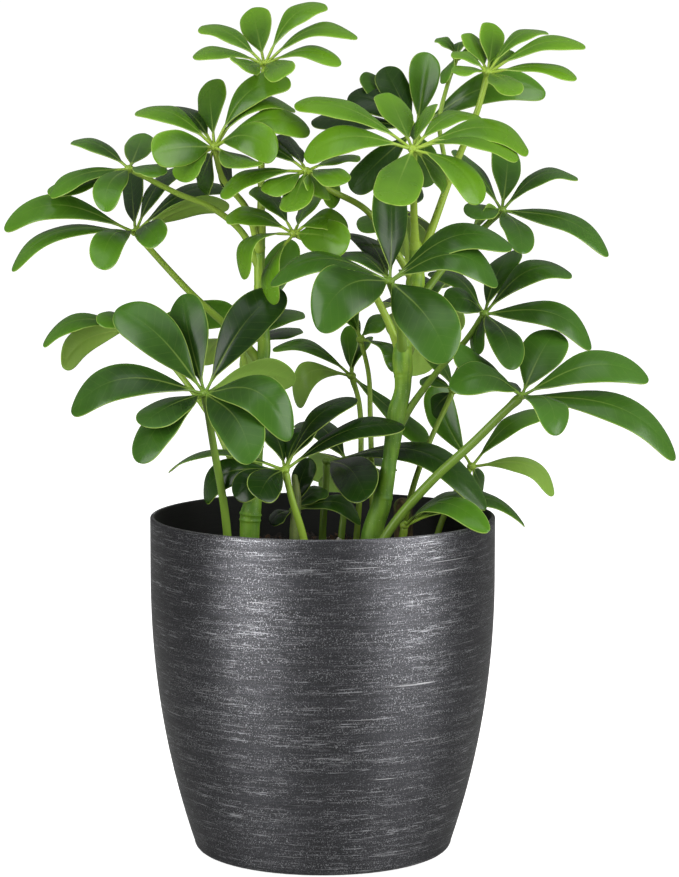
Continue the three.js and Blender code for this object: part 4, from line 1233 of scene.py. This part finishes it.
class LeafSettings(bpy.types.PropertyGroup):
    """Form and colours of the leaves"""

    blade_thickness: length_setting("Blade thickness", "Thickness of a blade at its midrib", 0.85)
    groove: length_setting("Midrib groove", "How deep the midrib lies in the blade", 0.28)
    rib_width: length_setting("Midrib width", "Half width of that groove", 0.8)
    margin_wave: length_setting("Margin wave", "How far the margin waves up and down", 0.45)
    stations: IntProperty(
        name="Stations", description="Cuts along a blade that its surface runs through",
        default=26, min=8, max=60,
    )
    sheath: share_setting("Petiole sheath", "How much a petiole widens at a stem", 0.35, 1.0)
    vein_colour: colour_setting("Veins", "Midrib, side veins and margin", "#a9c25c")
    young_colour: colour_setting("Young blade", "Top of a young leaf", "#4e7716")
    middle_colour: colour_setting("Middle blade", "Top of a full-grown leaf", "#456c1b")
    old_colour: colour_setting("Old blade", "Top of an old leaf", "#37591b")


class StageSettings(bpy.types.PropertyGroup):
    """The floor, the light and the camera"""

    floor_size: length_setting("Floor radius", "Radius of the round floor", 12000)
    floor_colour: colour_setting("Floor", "Matt pale floor", "#f4f4f2")
    bounce_colour: colour_setting("Bounce", "How the floor colours the light that it throws back", "#a6a6a4")
    floor_glow: light_setting("Floor glow", "Light of the floor's own, as it is seen", 0.8)
    surround: light_setting("Surround", "Light from the horizon", 0.1)
    zenith: light_setting("Zenith", "Light from straight above", 0.5)
    key_power: light_setting("Side lights", "Power of each tall light at the sides", 34.0, "POWER")
    top_power: light_setting("Top light", "Power of the broad light above", 7.0, "POWER")


class PLANT_OT_pot(bpy.types.Operator):
    """Makes the planter, with its leaning wall, round rim edges and brushed finish"""

    bl_idname = "plant.make_pot"
    bl_label = "Planter"

    def execute(self, context):
        settings = context.scene.plant_pot
        rim, top = settings.rim_radius / MM, settings.height / MM
        wall, edge = settings.wall / MM, settings.rim_round / MM
        base = pot_radius(POT_CORNER_HEIGHT, rim)
        heights = np.linspace(POT_CORNER_HEIGHT, top - edge, POT_RINGS)
        outer = np.stack([pot_radius(heights, rim), heights], -1)
        inner = outer[::-1] - [wall, 0.0]
        under = [[r, 0.0] for r in (*POT_FLAT_RINGS, POT_FOOT_RADIUS - 1, POT_FOOT_RADIUS)]
        floor = [[r, POT_FLOOR] for r in (base - wall - 1, *POT_FLAT_RINGS[::-1])]
        # The corner is a parabola from the foot to the wall, drawn towards a point between them
        bend = np.linspace(0, 1, POT_CORNER_RINGS)[1:-1, None]
        pull_in, pull_up = POT_CORNER_PULL
        corner = np.array([POT_FOOT_RADIUS, 0.0]) * (1 - bend) ** 2
        corner = corner + np.array([base - pull_in, pull_up]) * 2 * bend * (1 - bend) + outer[0] * bend ** 2
        rounding = np.concatenate([
            arc((rim - edge, top - edge), edge, 0, 90, RIM_RINGS)[1:],
            arc((rim - wall + edge, top - edge), edge, 90, 180, RIM_RINGS)[:-1],
        ])
        profile = np.concatenate([under, corner, outer, rounding, inner[:-1], floor])
        outside = len(under) + len(corner) + len(outer) + RIM_SILVER_RINGS
        inside = (np.arange(len(profile)) >= outside).astype(float)
        near_rim = bell((top - profile[:, 1]) / POT_RIM_WEAR)
        part = skin(turned(profile, POT_SIDES), inside=inside[:, None], rim=near_rim[:, None])
        make_piece("pot_fine", [part], pot_material(settings), "pot")
        return {"FINISHED"}


class PLANT_OT_soil(bpy.types.Operator):
    """Makes the potting mix, with its lumpy top and loose grains"""

    bl_idname = "plant.make_soil"
    bl_label = "Soil"

    def execute(self, context):
        settings = context.scene.plant_soil
        rim = context.scene.plant_pot.rim_radius / MM
        inset = context.scene.plant_pot.wall / MM + GAP
        level, mound, lump = settings.height / MM, settings.mound / MM, settings.lump / MM
        draw = np.random.default_rng(SOIL_SEED)
        turns = draw.uniform(0, ROUND, (FINE_WAVES, 2))
        pitch = draw.uniform(*FINE_PITCH, FINE_WAVES)
        edge = pot_radius(level, rim) - inset

        def top(x, y):
            """The mound, the broad lumps of the solid, and fine waves that cross at chance angles"""
            share = np.minimum(1, np.hypot(x, y) / edge)
            fine = np.zeros_like(x)
            for (way, phase), size in zip(turns, pitch):
                along = x * np.cos(way) + y * np.sin(way)
                fine += FINE_HEIGHT * size * np.sin(along * ROUND / size + phase)
            broad = lump * np.sin(x / LUMP_PITCH[0]) * np.cos(y / LUMP_PITCH[1])
            lumpy = 1 - smoothstep(SOIL_LEVEL_FROM, 1, share)
            return level + mound * (1 - share ** 2) + (broad + fine) * lumpy

        heights = np.linspace(POT_FLOOR + GAP, level, SOIL_WALL_RINGS)
        wall = np.stack([pot_radius(np.maximum(heights, POT_CORNER_HEIGHT), rim) - inset, heights], -1)
        shares = np.linspace(1, SOIL_INNERMOST, SOIL_RINGS)[1:, None]
        surface = np.concatenate([edge * shares, np.full_like(shares, level)], -1)
        under = [[SOIL_UNDER_RING, POT_FLOOR + GAP]]
        grid = turned(np.concatenate([under, wall, surface]), SOIL_SIDES)
        on_top = slice(len(under) + len(wall), None)
        grid[on_top, :, 2] = top(grid[on_top, :, 0], grid[on_top, :, 1])
        grains = grain_parts(settings.grains, settings.grain_size / MM, edge - GRAIN_EDGE, top, draw)
        make_piece("soil_fine", [skin(grid), *grains], soil_material(settings), "soil")
        return {"FINISHED"}


class PLANT_OT_stems(bpy.types.Operator):
    """Makes the two main stems, the short shoot and the cut cane"""

    bl_idname = "plant.make_stems"
    bl_label = "Stems"

    def execute(self, context):
        settings = context.scene.plant_stems
        stem, shoot = settings.stem_colour, settings.shoot_colour
        green = stem_material("green_stem_rind", stem, settings.stem_dark, settings.stem_top, 0.45)
        olive = stem_material("olive_shoot_rind", shoot, "#4c5a26", shoot, 0.5)
        finishes = {
            "stem_left": green, "stem_right": green,
            "shoot_short": olive, "cane_stub": cane_material(settings),
        }
        for stem in STEMS:
            name = stem["name"]
            make_piece(name + "_fine", stem_parts(stem, settings), finishes[name], name)
        return {"FINISHED"}


class PLANT_OT_leaves(bpy.types.Operator):
    """Makes every leaf: petiole, hub and folded, veined leaflets"""

    bl_idname = "plant.make_leaves"
    bl_label = "Leaves"

    def execute(self, context):
        settings = context.scene.plant_leaves
        draw = np.random.default_rng(LEAF_SEED)
        finishes = {
            age: leaf_material(settings, blade=getattr(settings, age + "_colour"), **skin_colours)
            for age, skin_colours in LEAF_SKINS.items()
        }
        for leaf in LEAVES:
            parts = leaf_parts(leaf, settings, draw)
            make_piece(leaf["name"] + "_fine", parts, finishes[leaf["age"]], leaf["name"])
        return {"FINISHED"}


class PLANT_OT_stage(bpy.types.Operator):
    """Makes the pale floor, the soft lights and the camera"""

    bl_idname = "plant.make_stage"
    bl_label = "Stage"

    def execute(self, context):
        settings = context.scene.plant_stage
        scene = context.scene
        self.make_floor(scene, settings)
        self.make_sky(scene, settings)
        for light in LIGHTS:
            self.make_light(scene, settings, *light)

        camera = bpy.data.cameras.new("camera")
        camera.lens = CAMERA_LENS
        camera.clip_start, camera.clip_end = CAMERA_CLIP
        eye = bpy.data.objects.new("camera", camera)
        eye.location = EYE * MM
        eye.rotation_euler = (np.radians(90 - CAMERA_PITCH), 0.0, 0.0)
        scene.collection.objects.link(eye)
        scene.camera = eye
        scene.view_settings.view_transform = "Standard"
        return {"FINISHED"}

    def make_floor(self, scene, settings):
        """A flat disc: rings whose radii grow as a square, about a middle face"""
        shares = np.linspace(FLOOR_INNERMOST, 1, FLOOR_RINGS) ** 2
        profile = np.stack([shares * settings.floor_size, 0 * shares], -1)
        points = turned(profile, FLOOR_SIDES).reshape(-1, 3)
        quads = ring_quads(FLOOR_RINGS, FLOOR_SIDES)[:, ::-1]
        mesh = bpy.data.meshes.new("floor")
        mesh.from_pydata(points.tolist(), [], quads.tolist() + [list(range(FLOOR_SIDES))])
        mesh.materials.append(floor_material(settings))
        floor = bpy.data.objects.new("floor", mesh)
        scene.collection.objects.link(floor)

    def make_sky(self, scene, settings):
        """Light from all round that grows from the horizon to the zenith, and is seen as clean white"""
        world = bpy.data.worlds.new("studio")
        world.use_nodes = True
        scene.world = world
        sky = world.node_tree
        height = add(sky, "SeparateXYZ", (add(sky, "TexCoord", out="Generated"),), "Z")
        glow = add(sky, "MapRange", {"Value": height, "To Min": settings.surround, "To Max": settings.zenith})
        seen = add(sky, "LightPath", out="Is Camera Ray")
        strength = add(sky, "Mix", {"Factor": seen, "A": glow, "B": WHITE}, data_type="FLOAT")
        feed(sky, sky.nodes["Background"], {"Color": rgba("#ffffff"), "Strength": strength})

    def make_light(self, scene, settings, name, aim, distance, size, power, share, tint):
        """A rectangular light on a sphere about the middle of the plant, turned to face it"""
        turn, lift = np.radians(aim)
        way = np.array([np.sin(turn) * np.cos(lift), -np.cos(turn) * np.cos(lift), np.sin(lift)])
        lamp = bpy.data.lights.new(name, "AREA")
        lamp.shape = "RECTANGLE"
        lamp.size, lamp.size_y = size
        lamp.energy = getattr(settings, power) * share
        lamp.color = linear(tint)
        light = bpy.data.objects.new(name, lamp)
        light.location = AIM + way * distance
        light.rotation_euler = (np.pi / 2 - lift, 0.0, turn)
        scene.collection.objects.link(light)


class PLANT_PT_panel(bpy.types.Panel):
    """Lists the plant's settings and what makes each piece"""

    bl_idname = "PLANT_PT_panel"
    bl_label = "Potted umbrella plant"
    bl_space_type = "VIEW_3D"
    bl_region_type = "UI"
    bl_category = "Plant"

    def draw(self, context):
        for settings, (_, operator) in MAKERS.items():
            box = self.layout.box()
            group = getattr(context.scene, settings)
            for name in group.bl_rna.properties.keys():
                if name not in ("rna_type", "name"):
                    box.prop(group, name)
            box.operator(operator.bl_idname)


# The settings and the operator of each group of pieces, by the settings' name on the scene
MAKERS = {
    "plant_pot": (PotSettings, PLANT_OT_pot),
    "plant_soil": (SoilSettings, PLANT_OT_soil),
    "plant_stems": (StemSettings, PLANT_OT_stems),
    "plant_leaves": (LeafSettings, PLANT_OT_leaves),
    "plant_stage": (StageSettings, PLANT_OT_stage),
}


def register():
    """Registers the settings, the operators and the panel"""
    for name, (group, operator) in MAKERS.items():
        bpy.utils.register_class(group)
        setattr(bpy.types.Scene, name, PointerProperty(type=group))
        bpy.utils.register_class(operator)
    bpy.utils.register_class(PLANT_PT_panel)


def unregister():
    """Takes away what register added"""
    bpy.utils.unregister_class(PLANT_PT_panel)
    for name, (group, operator) in MAKERS.items():
        bpy.utils.unregister_class(operator)
        delattr(bpy.types.Scene, name)
        bpy.utils.unregister_class(group)


def main():
    """Makes every piece in order"""
    register()
    bpy.ops.plant.make_pot()
    bpy.ops.plant.make_soil()
    bpy.ops.plant.make_stems()
    bpy.ops.plant.make_leaves()
    bpy.ops.plant.make_stage()


if __name__ == "__main__":
    main()
